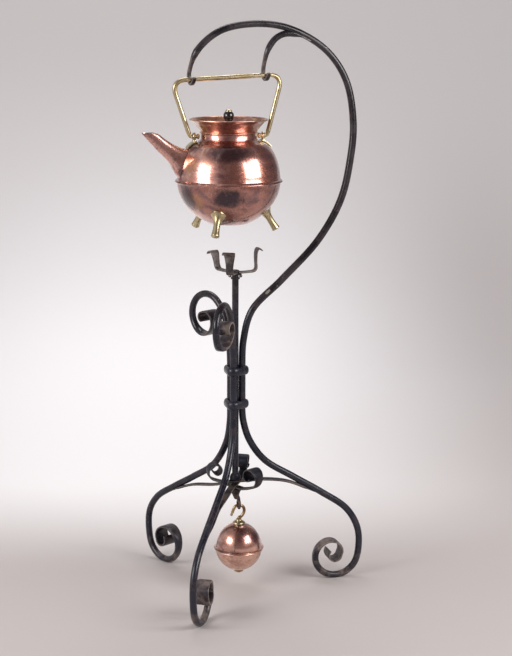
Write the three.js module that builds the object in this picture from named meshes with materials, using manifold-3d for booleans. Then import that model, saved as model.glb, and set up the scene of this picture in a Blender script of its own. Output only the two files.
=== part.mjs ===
// A copper kettle hung from a wrought iron floor stand, with a hollow copper ball under the hub.
// Millimetres, +Z up. +X runs along the right leg, in the plane of the crook that carries the kettle.
import * as THREE from 'three';
import { mergeVertices } from 'three/addons/utils/BufferGeometryUtils.js';
import Module from 'manifold-3d';

const wasm = await Module();
wasm.setup();

// Clearances
const fitGap = 0.3; // between pieces that touch
const runningGap = 0.5; // round a pin that turns in its eye

// Stand, heights from the floor and radii from the stem axis
const stemDiameter = 10;
const rodDiameter = 10.4;
const hookRodDiameter = 9;
const upperCollarHeight = 340;
const lowerCollarHeight = 288.5;
const collarHeight = 13;
const collarDepth = 4.6;
const hubHeight = 163.7; // middle strap of the three that cross
const legSpacing = 120; // degrees between the three legs

// Foot scrolls
const footScrollRadius = 41;
const footScrollReach = 158.5; // centre of the foot scroll from the stem axis
const footScrollTurn = 530; // degrees
const footRoll = { from: 360, shrink: 0.75, power: 1.35 }; // where the rolled end begins, and its tightness
const footFlat = 1; // depth of the worn flat that stands on the floor
const legReach = footScrollReach + footScrollRadius + 5; // outermost point of a leg
const fishtailWidth = 26;
const fishtailThickness = 3.4;

// Upper scrolls of the front and left rods
const topScrollRadius = 34.5;
const topScrollReach = 61;
const topScrollLift = 74; // centre of the scroll above the upper collar
const topScrollHeight = upperCollarHeight + topScrollLift;
const topScrollTurn = 570;
const topRoll = { from: 400, shrink: 0.79, power: 2.4 };

// Trivet on the stem
const trivetLift = 74; // above the centre of the upper scrolls
const trivetHeight = topScrollHeight + trivetLift;
const prongThickness = 3;
const prongBaseWidth = 11;
const prongTopWidth = 19;
const prongLip = 10.5;
const capitalDiameter = 19;
const capitalHeight = 8;
const rivetDiameter = 5;

// Crook and its two hooks
const crookReach = 180; // rod centre from the stem axis where the crook is widest
const crookRise = 362; // rod centre at the crook's top, above the trivet
const crookHeight = trivetHeight + crookRise;
const hookStripWidth = 5.6;
const hookStripThickness = 5;
const hookTwist = 14; // degrees by which the hooks' cups are turned from square to the handle bar
const hookLean = 35; // degrees by which a hook's tip leans forward, so that the handle lifts out
const mainHookX = -65;
const branchHookX = 45.4;

// Braces between the legs and the hub
const braceWidth = 10;
const braceThickness = 4;
const braceScrollRadius = 15.5;
const braceScrollReach = 30.5;
const braceScrollLift = 19.5; // centre of the small scroll above its strap
const braceScrollTurn = 420;
const braceRoll = { from: 420, shrink: 0.72, power: 0.75 };
const braceFishtail = 23;
const tenonDiameter = 6;

// Hanging ball
const ballOffset = 5.5; // the eye is bent this far from the stem axis
const ballRadius = 34.8;
const ballHeight = 62.3; // centre
const ballWall = 1.2;
const seamRadius = 37.6;
const eyeHeight = 131; // centre of the eye's ring
const eyeRadius = 6;
const eyeWire = 4;
const finialDiameter = 19;
const hookWire = 4.6;
const hookLoopRadius = 8.6;
const tieRodDiameter = 4;

// Kettle
const kettleX = -10;
const kettleDrop = 225.5; // the kettle's seam below the crook's top
const seamHeight = crookHeight - kettleDrop;
const bodyRadius = 75.5;
const bellyDepth = 63; // from the seam down to the base
const shoulderHeight = 57; // from the seam up to the neck
const kettleWall = 1.2;
const kettleSeamRadius = 78.7;
const baseRadius = 30;
const neckRadius = 41;
const neckHeight = 10;
const rimRadius = 57.2;
const rimHeight = seamHeight + 89.5;
const rimBead = 2.4;

// Spout
const spoutReach = 141; // tip from the stem axis
const spoutTipHeight = seamHeight + 70.5;

// Ears and handle
const earHalfSpan = 51.5;
const earHeight = seamHeight + 64.5;
const earThickness = 4;
const earEyeRadius = 5.5;
const handleDiameter = 5.4;
const handleRise = 84; // middle of the bar above the ears
const handleSlope = 2.8; // degrees, the bar is lower over the spout
const handleLeftSpan = 85; // corners of the handle from the kettle axis
const handleRightSpan = 81;
const handleBend = 17;

// Kettle feet
const footFlangeRadius = 11;
const footStemRadius = 4.7;
const footTopReach = 54;
const footBottomReach = 72;
const footBottomHeight = seamHeight - 73.5;

// Lid
const lidSeatHeight = seamHeight + 74.5;
const lidWall = 1.2;
const lidDome = 6;
const knobRadius = 7.6;
const knobHeight = 19;
const knobScrewDiameter = 4;

// Legs: the right one rises into the crook, the other two into the upper scrolls
const legs = [
  {
    name: 'right', turn: 0, drop: 0, drift: 0,
    layer: 1, sag: 0, curl: 0, landing: 104,
    reach: 31, lean: 0, prongHeight: 36,
  },
  {
    name: 'left', turn: 1, drop: 12, drift: 0,
    layer: -1, sag: 11, curl: 6, landing: 120,
    reach: 36, lean: 16, prongHeight: 30,
  },
  {
    name: 'front', turn: -1, drop: 9, drift: -0.035,
    layer: 0, sag: 9, curl: 6, landing: 120,
    reach: 31, lean: 0, prongHeight: 35,
  },
];

const radians = THREE.MathUtils.degToRad;
const planOffset = (legReach - spoutReach) / 2; // the stem axis from the middle of the plan
const planBack = 1.5; // and how far it lies behind that middle
const bundleRadius = (stemDiameter + rodDiameter) / 2 + fitGap;

// Materials
const blackIron = new THREE.MeshStandardMaterial({ color: 0x16171c, roughness: 0.35, metalness: 0.6 });
const bareIron = new THREE.MeshStandardMaterial({ color: 0x4a4440, roughness: 0.55, metalness: 0.8 });
const copper = new THREE.MeshStandardMaterial({ color: 0xb0705a, roughness: 0.25, metalness: 1 });
const brass = new THREE.MeshStandardMaterial({ color: 0xc2a566, roughness: 0.3, metalness: 1 });
const ebony = new THREE.MeshStandardMaterial({ color: 0x0c0c0d, roughness: 0.15, metalness: 0 });

// Turns a list of rings, each with as many points, into one closed body.
function loft(rings, closed = false) {
  const sides = rings[0].length;
  const points = rings.flat();
  const faces = [];
  const last = closed ? rings.length : rings.length - 1;
  for (let i = 0; i < last; i += 1) {
    const a = i * sides;
    const b = ((i + 1) % rings.length) * sides;
    for (let k = 0; k < sides; k += 1) {
      const next = (k + 1) % sides;
      faces.push(a + k, a + next, b + next, a + k, b + next, b + k);
    }
  }
  if (!closed) {
    for (const [ring, turned] of [[0, true], [rings.length - 1, false]]) {
      const centre = points.length;
      const middle = new THREE.Vector3();
      for (const point of rings[ring]) {
        middle.addScaledVector(point, 1 / sides);
      }
      points.push(middle);
      for (let k = 0; k < sides; k += 1) {
        const a = ring * sides + k;
        const b = ring * sides + ((k + 1) % sides);
        faces.push(...(turned ? [centre, b, a] : [centre, a, b]));
      }
    }
  }
  return facingOut(points, faces);
}

// Makes a geometry from points and faces, turned over if its faces point inwards.
function facingOut(points, faces) {
  let volume = 0;
  for (let i = 0; i < faces.length; i += 3) {
    const [a, b, c] = [points[faces[i]], points[faces[i + 1]], points[faces[i + 2]]];
    volume += a.dot(new THREE.Vector3().crossVectors(b, c));
  }
  const ordered = volume < 0 ? faces.slice().reverse() : faces;
  const geometry = new THREE.BufferGeometry().setFromPoints(points);
  geometry.setIndex(ordered);
  return geometry;
}

// A ring of points round a centre: round when power is 2, and squarer as power grows.
function section(centre, along, across, width, thickness, sides, power = 2) {
  const tangent = along.clone().normalize();
  const wide = across.clone().addScaledVector(tangent, -across.dot(tangent)).normalize();
  const deep = new THREE.Vector3().crossVectors(tangent, wide);
  const ring = [];
  for (let k = 0; k < sides; k += 1) {
    const angle = (2 * Math.PI * (k + 0.5)) / sides;
    const u = Math.sign(Math.cos(angle)) * Math.abs(Math.cos(angle)) ** (2 / power);
    const v = Math.sign(Math.sin(angle)) * Math.abs(Math.sin(angle)) ** (2 / power);
    const point = centre.clone().addScaledVector(wide, (u * width) / 2);
    ring.push(point.addScaledVector(deep, (v * thickness) / 2));
  }
  return ring;
}

// Steps along a path that are short in its bends and long where it runs straight.
function stepsAlong(path, maxTurn, maxStep) {
  const fine = 900;
  const places = [0];
  let turned = 0;
  let run = 0;
  for (let i = 1; i < fine; i += 1) {
    const [before, here] = [path.getTangentAt((i - 1) / fine), path.getTangentAt(i / fine)];
    turned += THREE.MathUtils.radToDeg(before.angleTo(here));
    run += path.getLength() / fine;
    if (turned > maxTurn || run > maxStep(path.getPointAt(i / fine))) {
      places.push(i / fine);
      turned = 0;
      run = 0;
    }
  }
  places.push(1);
  return places;
}

// Steps are short where a rod stands in the bundle, so that it stays straight through the collars.
const barStep = ({ x }) => (Math.abs(x - bundleRadius) < 1 ? 9 : 36);

// A bar forged along a path; shape(u) gives its width, thickness and squareness at a place.
function forgedBar(path, across, shape, sides = 8, maxTurn = 20, maxStep = barStep) {
  const rings = [];
  for (const u of stepsAlong(path, maxTurn, maxStep)) {
    const { width, thickness, power = 2 } = shape(u);
    rings.push(section(path.getPointAt(u), path.getTangentAt(u), across(u), width, thickness, sides, power));
  }
  return loft(rings);
}

// A turned piece; the outline is a list of [radius, height] that starts and ends on the axis or closes.
function turned(outline, segments = 24) {
  const points = outline.map(([r, z]) => new THREE.Vector2(Math.max(r, 0), z));
  const lathe = new THREE.LatheGeometry(points, segments);
  lathe.rotateX(Math.PI / 2);
  lathe.deleteAttribute('normal');
  lathe.deleteAttribute('uv');
  return oneBody(mergeVertices(lathe, 1e-4));
}

// Drops faces that fold to nothing on the axis, and turns the body's faces outwards.
function oneBody(geometry) {
  const points = [];
  const position = geometry.getAttribute('position');
  for (let i = 0; i < position.count; i += 1) {
    points.push(new THREE.Vector3().fromBufferAttribute(position, i));
  }
  const index = [...geometry.getIndex().array];
  const faces = [];
  for (let i = 0; i < index.length; i += 3) {
    const [a, b, c] = index.slice(i, i + 3);
    if (a !== b && b !== c && c !== a) {
      faces.push(a, b, c);
    }
  }
  return facingOut(points, faces);
}

// Closes a sheet outline: the outer line, then the same line set back by the wall.
function sheet(outer, wall) {
  const inner = outer.map(([r, z], i) => {
    const [r0, z0] = outer[Math.max(i - 1, 0)];
    const [r1, z1] = outer[Math.min(i + 1, outer.length - 1)];
    const length = Math.hypot(r1 - r0, z1 - z0);
    return [r - ((z1 - z0) / length) * wall, z + ((r1 - r0) / length) * wall];
  });
  return [...outer, ...inner.reverse()];
}

function closedOutline(outline) {
  return [...outline, outline[0]];
}

// Solids for joining and cutting
function solid(geometry) {
  const bare = geometry.clone();
  bare.deleteAttribute('normal');
  bare.deleteAttribute('uv');
  const merged = oneBody(mergeVertices(bare, 1e-4));
  const mesh = new wasm.Mesh({
    numProp: 3,
    vertProperties: new Float32Array(merged.getAttribute('position').array),
    triVerts: new Uint32Array(merged.getIndex().array),
  });
  return new wasm.Manifold(mesh);
}

function geometryOf(manifold) {
  const { vertProperties, triVerts } = manifold.getMesh();
  const geometry = new THREE.BufferGeometry();
  geometry.setAttribute('position', new THREE.BufferAttribute(vertProperties, 3));
  geometry.setIndex([...triVerts]);
  return geometry;
}

function cut(geometry, ...tools) {
  return geometryOf(tools.reduce((left, tool) => left.subtract(solid(tool)), solid(geometry)));
}

function join(geometry, ...others) {
  return geometryOf(others.reduce((left, other) => left.add(solid(other)), solid(geometry)));
}

// A round bar between two points
function roundBar(from, to, radius, sides = 20) {
  const along = new THREE.Vector3().subVectors(to, from);
  const across = Math.abs(along.z) > Math.abs(along.x) ? new THREE.Vector3(1, 0, 0) : new THREE.Vector3(0, 0, 1);
  return loft([from, to].map((end) => section(end, along, across, 2 * radius, 2 * radius, sides)));
}

const up = new THREE.Vector3(0, 0, 1);
const sideways = new THREE.Vector3(0, 1, 0);
const level = () => sideways;

// Points of a flat scroll in its [radius, height] plane, wound inwards from a start angle to a rolled end.
function scroll(centre, radius, start, turn, roll, step = 30) {
  const points = [];
  const steps = Math.round(turn / step);
  for (let i = 0; i <= steps; i += 1) {
    const wound = (turn * i) / steps;
    const r = radius * scrollShrink(wound, roll);
    const angle = radians(start - wound);
    points.push([centre[0] + r * Math.cos(angle), centre[1] + r * Math.sin(angle)]);
  }
  return points;
}

// Radius of a scroll at an angle wound, as a share of its first radius
function scrollShrink(wound, { from, shrink, power }) {
  return 1 - shrink * Math.min(1, wound / from) ** power;
}

function pathThrough(points) {
  const corners = points.map(([r, z, y = 0]) => new THREE.Vector3(r, y, z));
  const path = new THREE.CatmullRomCurve3(corners, false, 'centripetal');
  path.arcLengthDivisions = 1200;
  return path;
}

// The foot scroll's radius after a quarter turn sets how high its centre stands.
const footScrollHeight = footScrollRadius * scrollShrink(90, footRoll) + rodDiameter / 2 - footFlat;

// Moves points of a leg's plane sideways in step with their radius.
const withDrift = (drift) => ([r, z, y = 0]) => [r, z, y + Math.max(0, r - bundleRadius) * drift];

// Leg, from the lower collar to the tip of the foot scroll; drop lowers its knee.
function legPoints(drop) {
  return [
    [bundleRadius, lowerCollarHeight],
    [bundleRadius, lowerCollarHeight - collarHeight * 0.7],
    [bundleRadius + 2 - drop * 0.1, lowerCollarHeight - 28],
    [22 - drop * 0.3, lowerCollarHeight - 57.5 - drop * 0.3],
    [46, hubHeight + 34.3 - drop],
    [92, hubHeight + 4.3 - drop],
    [footScrollReach - 21.5, hubHeight - 23.7 - drop * 0.8],
    [footScrollReach + 20.5, hubHeight - 54.2 - drop / 2],
    [footScrollReach + footScrollRadius - 1.5, footScrollHeight + 35.53],
    ...scroll([footScrollReach, footScrollHeight], footScrollRadius, 0, footScrollTurn, footRoll),
  ];
}

// Crook, from the upper collar over to the strip of the main hook
function crookPoints() {
  const rise = (share) => upperCollarHeight + share * (crookHeight - upperCollarHeight);
  return [
    [bundleRadius, upperCollarHeight],
    [bundleRadius, upperCollarHeight + collarHeight * 0.7],
    [bundleRadius + 1.9, rise(0.0882)],
    [bundleRadius + 15.1, rise(0.1765)],
    [bundleRadius + 61.1, rise(0.2639)],
    [crookReach - 52.7, rise(0.3761)],
    [crookReach - 18.2, rise(0.4916)],
    [crookReach - 4, rise(0.6078)],
    [crookReach, rise(0.7157)],
    [crookReach - 12, rise(0.8373)],
    [crookReach - 43.5, rise(0.9235)],
    [crookReach - 98.4, crookHeight - 7],
    [crookReach - 150, crookHeight],
    [-22.7, crookHeight - 10],
    [-56.6, crookHeight - 38],
  ];
}

function topScrollPoints() {
  return [
    [bundleRadius, upperCollarHeight],
    [bundleRadius, upperCollarHeight + collarHeight * 0.7],
    [bundleRadius + 2.1, upperCollarHeight + 38],
    [20, topScrollHeight],
    ...scroll([topScrollReach, topScrollHeight], topScrollRadius, 140, topScrollTurn, topRoll),
  ];
}

// Place of the handle bar, which the two hooks cup
function barHeight(x) {
  return earHeight + handleRise + (x - kettleX) * Math.tan(radians(handleSlope));
}

const cupDirection = new THREE.Vector3(Math.sin(radians(hookTwist)), -Math.cos(radians(hookTwist)), 0);
const stripAcross = new THREE.Vector3(Math.cos(radians(hookTwist)), Math.sin(radians(hookTwist)), 0);
const cupInner = handleDiameter / 2 + fitGap + (hookStripWidth / 2) * Math.tan(radians(hookTwist)) + 0.2;
const cupRadius = cupInner + hookStripThickness / 2;

// The cup of a hook at x: down behind the bar, under it, and up and forward in front of it.
function cupPoints(x) {
  const bar = barHeight(x);
  const bottom = bar - handleDiameter / 2 - fitGap - hookStripThickness / 2;
  const centre = new THREE.Vector3(x, 0, bottom + cupRadius);
  const points = [centre.clone().addScaledVector(cupDirection, -cupRadius).addScaledVector(up, 8)];
  const turn = (180 - hookLean) / 6;
  for (let angle = 180; angle < 361 - hookLean; angle += turn) {
    const reach = cupRadius * Math.cos(radians(angle));
    const rise = cupRadius * Math.sin(radians(angle));
    points.push(centre.clone().addScaledVector(cupDirection, reach).addScaledVector(up, rise));
  }
  const tip = points[points.length - 1].clone();
  const tipLength = 7;
  tip.addScaledVector(cupDirection, tipLength * Math.sin(radians(hookLean)));
  tip.addScaledVector(up, tipLength * Math.cos(radians(hookLean)));
  points.push(tip);
  return points.map((point) => [point.x, point.z, point.y]);
}

const steady = (value) => () => value;
const blend = (from, to, t) => from + (to - from) * THREE.MathUtils.smoothstep(t, 0, 1);

const round = (diameter) => ({ width: diameter, thickness: diameter, power: 2 });

// Section of a bar that is drawn out flat at one or both of its ends
function drawnOut(length, bar, startTail, endTail) {
  return (u) => {
    for (const [distance, end] of [[u * length, startTail], [(1 - u) * length, endTail]]) {
      if (end && distance < end.length) {
        const t = 1 - distance / end.length;
        return {
          width: blend(bar.width, end.width, Math.min(1, t * end.spread)),
          thickness: blend(bar.thickness, end.thickness, Math.min(1, t * end.spread)),
          power: blend(bar.power, 4, Math.min(1, t * end.spread)),
        };
      }
    }
    return bar;
  };
}

const footTail = { length: 125, width: fishtailWidth, thickness: fishtailThickness, spread: 1.25 };
const topTail = { length: 120, width: fishtailWidth - 3, thickness: fishtailThickness, spread: 1.3 };
const stripTail = { length: 72, width: hookStripWidth, thickness: hookStripThickness, spread: 2.4 };

// Flattens the underside of a foot where it stands on the floor.
function stoodOnFloor(geometry) {
  const floor = new THREE.BoxGeometry(2 * legReach, 2 * legReach, 20);
  floor.translate(0, 0, -10);
  return cut(geometry, floor);
}

// Turns a bar's width from square to its plane to square to the hook's cup.
const turnedToCup = (u) => sideways.clone().lerp(stripAcross, THREE.MathUtils.smoothstep(u, 0.93, 0.965));

function crookRod({ drop }, grow = 0) {
  const foot = legPoints(drop).reverse();
  const path = pathThrough([...foot, ...crookPoints(), ...cupPoints(mainHookX)]);
  const shape = drawnOut(path.getLength(), round(rodDiameter), footTail, stripTail);
  const hookTaper = (u) => {
    const { width, thickness, power } = shape(u);
    const spare = Math.max(0, Math.min(width, thickness) - hookRodDiameter);
    const thin = THREE.MathUtils.smoothstep(u, 0.6, 0.85) * spare - grow;
    return { width: width - thin, thickness: thickness - thin, power };
  };
  return stoodOnFloor(forgedBar(path, turnedToCup, hookTaper));
}

function scrolledRod({ drop, drift }) {
  const path = pathThrough([...legPoints(drop).reverse(), ...topScrollPoints()].map(withDrift(drift)));
  const shape = drawnOut(path.getLength(), round(rodDiameter), footTail, topTail);
  return stoodOnFloor(forgedBar(path, level, shape));
}

// Branch hook: scarfed to the underside of the crook, then curled down to its own cup.
function branchHook() {
  const path = pathThrough([
    [crookReach - 68, crookHeight - 24.5],
    [crookReach - 82, crookHeight - 18],
    [crookReach - 96, crookHeight - 14],
    [crookReach - 109, crookHeight - 15],
    [60.5, crookHeight - 20.5],
    [53, crookHeight - 29],
    [47, crookHeight - 41],
    ...cupPoints(branchHookX),
  ]);
  const scarf = { length: 34, width: hookRodDiameter, thickness: 2.4, spread: 1 };
  const across = (u) => sideways.clone().lerp(stripAcross, THREE.MathUtils.smoothstep(u, 0.4, 0.7));
  const branch = forgedBar(path, across, drawnOut(path.getLength(), round(hookRodDiameter), scarf, stripTail));
  return cut(branch, crookRod(legs[0], 2.4 * fitGap));
}

// Outline of the rods in their bundle: three circles joined by their common tangents.
function bundleOutline(radius, arcSteps = 6) {
  const points = [];
  for (let rod = 0; rod < 3; rod += 1) {
    const middle = radians(rod * legSpacing);
    const span = Math.PI / 3;
    const centre = new THREE.Vector2(Math.cos(middle), Math.sin(middle)).multiplyScalar(bundleRadius);
    for (let i = 0; i <= arcSteps; i += 1) {
      const angle = middle - span + (2 * span * i) / arcSteps;
      points.push([centre.x + radius * Math.cos(angle), centre.y + radius * Math.sin(angle), angle]);
    }
  }
  return points;
}

// A half-round band forged round the bundle
function collar(height) {
  const inner = rodDiameter / 2 + fitGap;
  const rings = bundleOutline(inner, 5).map(([x, y, angle]) => {
    const out = new THREE.Vector3(Math.cos(angle), Math.sin(angle), 0);
    const foot = new THREE.Vector3(x, y, height);
    const ring = [];
    const arc = 7;
    for (let i = 0; i <= arc; i += 1) {
      const lean = Math.PI * (i / arc - 0.5);
      const depth = collarDepth * Math.abs(Math.cos(lean)) ** 0.8;
      ring.push(foot.clone().addScaledVector(out, depth).addScaledVector(up, (Math.sin(lean) * collarHeight) / 2));
    }
    return ring;
  });
  return loft(rings, true);
}

const prongSeat = trivetHeight - prongThickness / 2 - fitGap;
const domeBottom = hubHeight + 1.5 * braceThickness + 2 * fitGap;
const finialTop = hubHeight - 1.5 * braceThickness - 2 * fitGap;
const rivetBore = rivetDiameter / 2 + fitGap;
const stemTop = prongSeat;
const rivetDepth = 16;
const tenonDepth = 9; // how far the stem's tenon reaches into the finial

function stem() {
  const outer = stemDiameter / 2;
  return turned([
    [0, finialTop - tenonDepth],
    [tenonDiameter / 2, finialTop - tenonDepth],
    [tenonDiameter / 2, domeBottom],
    [outer, domeBottom],
    [outer, stemTop],
    [rivetBore, stemTop],
    [rivetBore, stemTop - rivetDepth - fitGap],
    [0, stemTop - rivetDepth - fitGap],
  ], 24);
}

function stemCapital() {
  const inner = stemDiameter / 2 + fitGap;
  const top = prongSeat;
  return turned(closedOutline([
    [inner, top - capitalHeight],
    [inner + 1.2, top - capitalHeight],
    [inner + 2.2, top - capitalHeight * 0.55],
    [capitalDiameter / 2, top - capitalHeight * 0.3],
    [capitalDiameter / 2, top],
    [inner, top],
  ]), 24);
}

const prongInner = prongBaseWidth / 2 / Math.tan(Math.PI / 3) + fitGap;

function prong({ reach, lean, prongHeight }) {
  const elbow = 4;
  const top = trivetHeight + prongHeight;
  const upper = [
    [reach, trivetHeight + prongHeight * 0.5],
    [reach + prongLip * 0.05, top - prongHeight * 0.2],
    [reach + prongLip * 0.28, top - 2.5],
    [reach + prongLip * 0.62, top - 1.5],
    [reach + prongLip, top - 6],
  ].map(([r, z]) => {
    const rise = z - trivetHeight - elbow;
    const out = r - reach;
    const [turn, level] = [Math.sin(radians(lean)), Math.cos(radians(lean))];
    return [reach + out * level + rise * turn, trivetHeight + elbow + rise * level - out * turn];
  });
  const path = pathThrough([
    [prongInner, trivetHeight],
    [reach * 0.6, trivetHeight + 0.4],
    [reach - elbow, trivetHeight + 1.6],
    [reach, trivetHeight + 1.6 + elbow],
    ...upper,
  ]);
  const length = path.getLength();
  const upright = reach + elbow;
  const shape = (u) => {
    const t = THREE.MathUtils.smoothstep(u * length, upright, length);
    return { width: prongBaseWidth + (prongTopWidth - prongBaseWidth) * t, thickness: prongThickness, power: 6 };
  };
  return forgedBar(path, level, shape, 8);
}

function trivetRivet() {
  const headBottom = trivetHeight + prongThickness / 2 + fitGap;
  const headRadius = prongInner + 3;
  return turned([
    [0, stemTop - rivetDepth],
    [rivetDiameter / 2, stemTop - rivetDepth],
    [rivetDiameter / 2, headBottom],
    [headRadius, headBottom],
    [headRadius * 0.86, headBottom + 1.6],
    [headRadius * 0.45, headBottom + 2.4],
    [0, headBottom + 2.6],
  ], 20);
}

// Height of a leg's rod centre at a radius, above its scroll
function legHeightAt(radius, drop) {
  const path = pathThrough(legPoints(drop));
  const samples = 400;
  let i = 0;
  while (i < samples && path.getPoint(i / samples).x < radius) {
    i += 1;
  }
  return path.getPoint(i / samples).z;
}

// A brace: from under its leg, over or under the other two at the hub, and up into a small scroll
function brace({ layer, drop, drift, sag, curl, landing: end }) {
  const height = hubHeight + layer * (braceThickness + fitGap);
  const under = rodDiameter / 2 + braceThickness / 2 + fitGap;
  const tipDepth = 1.6;
  const landing = (radius, depth) => {
    const ahead = new THREE.Vector2(2, legHeightAt(radius + 1, drop) - legHeightAt(radius - 1, drop)).normalize();
    return [radius + ahead.y * depth, legHeightAt(radius, drop) - ahead.x * depth];
  };
  const centre = [-braceScrollReach - curl, height + braceScrollLift + curl * 0.7];
  const path = pathThrough([
    landing(end + 12, under - (braceThickness - tipDepth) / 2 + 0.2),
    landing(end, under + 0.3),
    [end * 0.75, height - 5 - sag],
    [end * 0.42, height - 0.7 * sag],
    [20, height],
    [10, height],
    [0, height],
    [-8, height],
    [-16, height],
    ...scroll(centre, braceScrollRadius + curl * 0.4, 270, braceScrollTurn, braceRoll, 28),
  ].map(withDrift(drift)));
  const start = { length: 30, width: braceWidth * 0.8, thickness: tipDepth, spread: 1 };
  const fishtail = { length: 84, width: braceFishtail, thickness: 2.6, spread: 1.4 };
  const bar = { width: braceWidth, thickness: braceThickness, power: 4 };
  const shape = drawnOut(path.getLength(), bar, start, fishtail);
  const strap = forgedBar(path, level, shape, 8, 20, steady(30));
  const hole = roundBar(
    new THREE.Vector3(0, 0, height - braceThickness),
    new THREE.Vector3(0, 0, height + braceThickness),
    tenonDiameter / 2 + fitGap,
    16,
  );
  return cut(strap, hole);
}

function hubDome() {
  const inner = stemDiameter / 2 + fitGap;
  const bottom = domeBottom + fitGap;
  return turned(closedOutline([
    [inner, bottom],
    [8.2, bottom],
    [8.6, bottom + 3],
    [7.8, bottom + 6],
    [6.4, bottom + 8.6],
    [inner, bottom + 9.8],
  ]), 24);
}

// Finial under the hub: a cone that leans over to the ball's eye
function hubFinial() {
  const top = finialTop - fitGap;
  const eyeTop = eyeHeight + eyeRadius;
  const stations = [
    [0, top, finialDiameter / 2],
    [0, top - 3, finialDiameter / 2],
    [0.06, top - 8, finialDiameter * 0.33],
    [0.25, top - 13, 4.6],
    [0.6, (top + eyeTop) / 2 - 3, 3.4],
    [0.95, eyeTop + 1, 2.8],
    [1, eyeTop - 0.6, 2],
  ];
  const rings = stations.map(([shift, z, radius]) => {
    const centre = new THREE.Vector3(ballOffset * shift, 0, z);
    return section(centre, up, sideways, 2 * radius, 2 * radius, 14);
  });
  const socket = roundBar(
    new THREE.Vector3(0, 0, top + 1),
    new THREE.Vector3(0, 0, finialTop - tenonDepth - fitGap),
    tenonDiameter / 2 + fitGap,
    16,
  );
  const ring = new THREE.TorusGeometry(eyeRadius, eyeWire / 2, 8, 18);
  ring.rotateY(Math.PI / 2);
  ring.translate(ballOffset, 0, eyeHeight);
  return cut(join(loft(rings), ring), socket);
}

const hookTop = eyeHeight - eyeRadius + eyeWire / 2 + fitGap + hookWire / 2;
const capBase = ballHeight + Math.sqrt(ballRadius ** 2 - 10 ** 2);
const capTop = ballHeight + ballRadius + 10.5;
const hookEnd = capTop - 6;

function ballHook() {
  const z = hookTop - hookLoopRadius;
  const r = hookLoopRadius;
  const path = pathThrough([
    [-1.38 * r, z - 0.85 * r],
    [-1.05 * r, z],
    [-0.72 * r, z + 0.69 * r],
    [0, z + r],
    [0.72 * r, z + 0.69 * r],
    [r, z],
    [0.84 * r, z - 0.62 * r],
    [0.42 * r, z - 1.15 * r],
    [0.04 * r, capTop + 1.5],
    [0, capTop - 1],
    [0, hookEnd],
  ].map(([x, height]) => [x + ballOffset, height]));
  return forgedBar(path, level, steady({ width: hookWire, thickness: hookWire }), 8, 22, steady(10));
}

function ballCap() {
  const bore = tieRodDiameter / 2 + fitGap;
  const hookBore = hookWire / 2 + fitGap;
  const seat = (r) => ballHeight + Math.sqrt((ballRadius + fitGap) ** 2 - r ** 2);
  const middle = hookEnd - fitGap;
  return turned(closedOutline([
    [bore, seat(bore)],
    [6.5, seat(6.5)],
    [10, seat(10)],
    [10.2, capBase + 1.6],
    [7.2, capBase + 4.4],
    [4.8, capTop - 3.4],
    [4.4, capTop],
    [hookBore, capTop],
    [hookBore, middle],
    [bore, middle],
  ]), 20);
}

function ballHalf(side) {
  const hole = tieRodDiameter / 2 + fitGap;
  const outer = [];
  const steps = 6;
  const start = Math.asin(hole / ballRadius);
  const end = Math.PI / 2 - 0.05;
  for (let i = 0; i <= steps; i += 1) {
    const angle = start + ((end - start) * i) / steps;
    outer.push([ballRadius * Math.sin(angle), ballHeight + side * ballRadius * Math.cos(angle)]);
  }
  const flange = side > 0 ? seamRadius : seamRadius - 0.8;
  const lip = side > 0 ? 1.6 : 2.2;
  const wall = outer.map(([r, z]) => {
    const scale = (ballRadius - ballWall) / ballRadius;
    return [Math.max(r * scale, hole), ballHeight + (z - ballHeight) * scale];
  });
  const face = ballHeight + (side * fitGap) / 2;
  wall[wall.length - 1] = [ballRadius - ballWall, face];
  return turned(closedOutline([
    ...outer.slice(0, -1),
    [ballRadius + 0.3, ballHeight + side * (lip + 0.5)],
    [flange - 0.5, ballHeight + side * lip],
    [flange, ballHeight + side * lip * 0.55],
    [flange - 0.4, face],
    ...wall.reverse(),
  ]), 24);
}

const nutBottom = ballHeight - ballRadius - 3.6;
const nutFloor = 1.2; // left under the tie rod's end

function ballNut() {
  const bore = tieRodDiameter / 2 + fitGap;
  const seat = (r) => ballHeight - Math.sqrt((ballRadius + fitGap) ** 2 - r ** 2);
  const bottom = nutBottom;
  return turned([
    [0, bottom],
    [6, bottom],
    [7.2, bottom + 0.8],
    [7.2, bottom + 1.8],
    [5, seat(5)],
    [bore, seat(bore)],
    [bore, bottom + nutFloor],
    [0, bottom + nutFloor],
  ], 20);
}

function tieRod() {
  const bottom = nutBottom + nutFloor + fitGap;
  const top = hookEnd - 2 * fitGap;
  return turned([[0, bottom], [tieRodDiameter / 2, bottom], [tieRodDiameter / 2, top], [0, top]], 12);
}

// Kettle, turned about its own axis; heights are from the floor
const neckBase = seamHeight + shoulderHeight + 1;
const neckTop = neckBase + neckHeight;
const flangeThickness = 1.3;
const kettleSides = 32;

// Outer line of the upper body, from the seam to the top of the neck
function upperLine(grow = 0) {
  const side = new THREE.CubicBezierCurve(
    new THREE.Vector2(bodyRadius + grow, seamHeight),
    new THREE.Vector2(bodyRadius - 0.5 + grow, seamHeight + 0.45 * shoulderHeight),
    new THREE.Vector2(bodyRadius * 0.875 + grow, neckBase - 12 + grow),
    new THREE.Vector2(neckRadius + 13, neckBase - 4 + grow),
  );
  const shoulder = new THREE.QuadraticBezierCurve(
    new THREE.Vector2(neckRadius + 13, neckBase - 4 + grow),
    new THREE.Vector2(neckRadius + 1 + grow, neckBase + grow),
    new THREE.Vector2(neckRadius + grow, neckBase + 3 + grow),
  );
  const points = [...side.getPoints(7), ...shoulder.getPoints(3).slice(1)];
  points.push(new THREE.Vector2(neckRadius + grow, neckTop));
  return points.map((point) => [point.x, point.y]);
}

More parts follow.
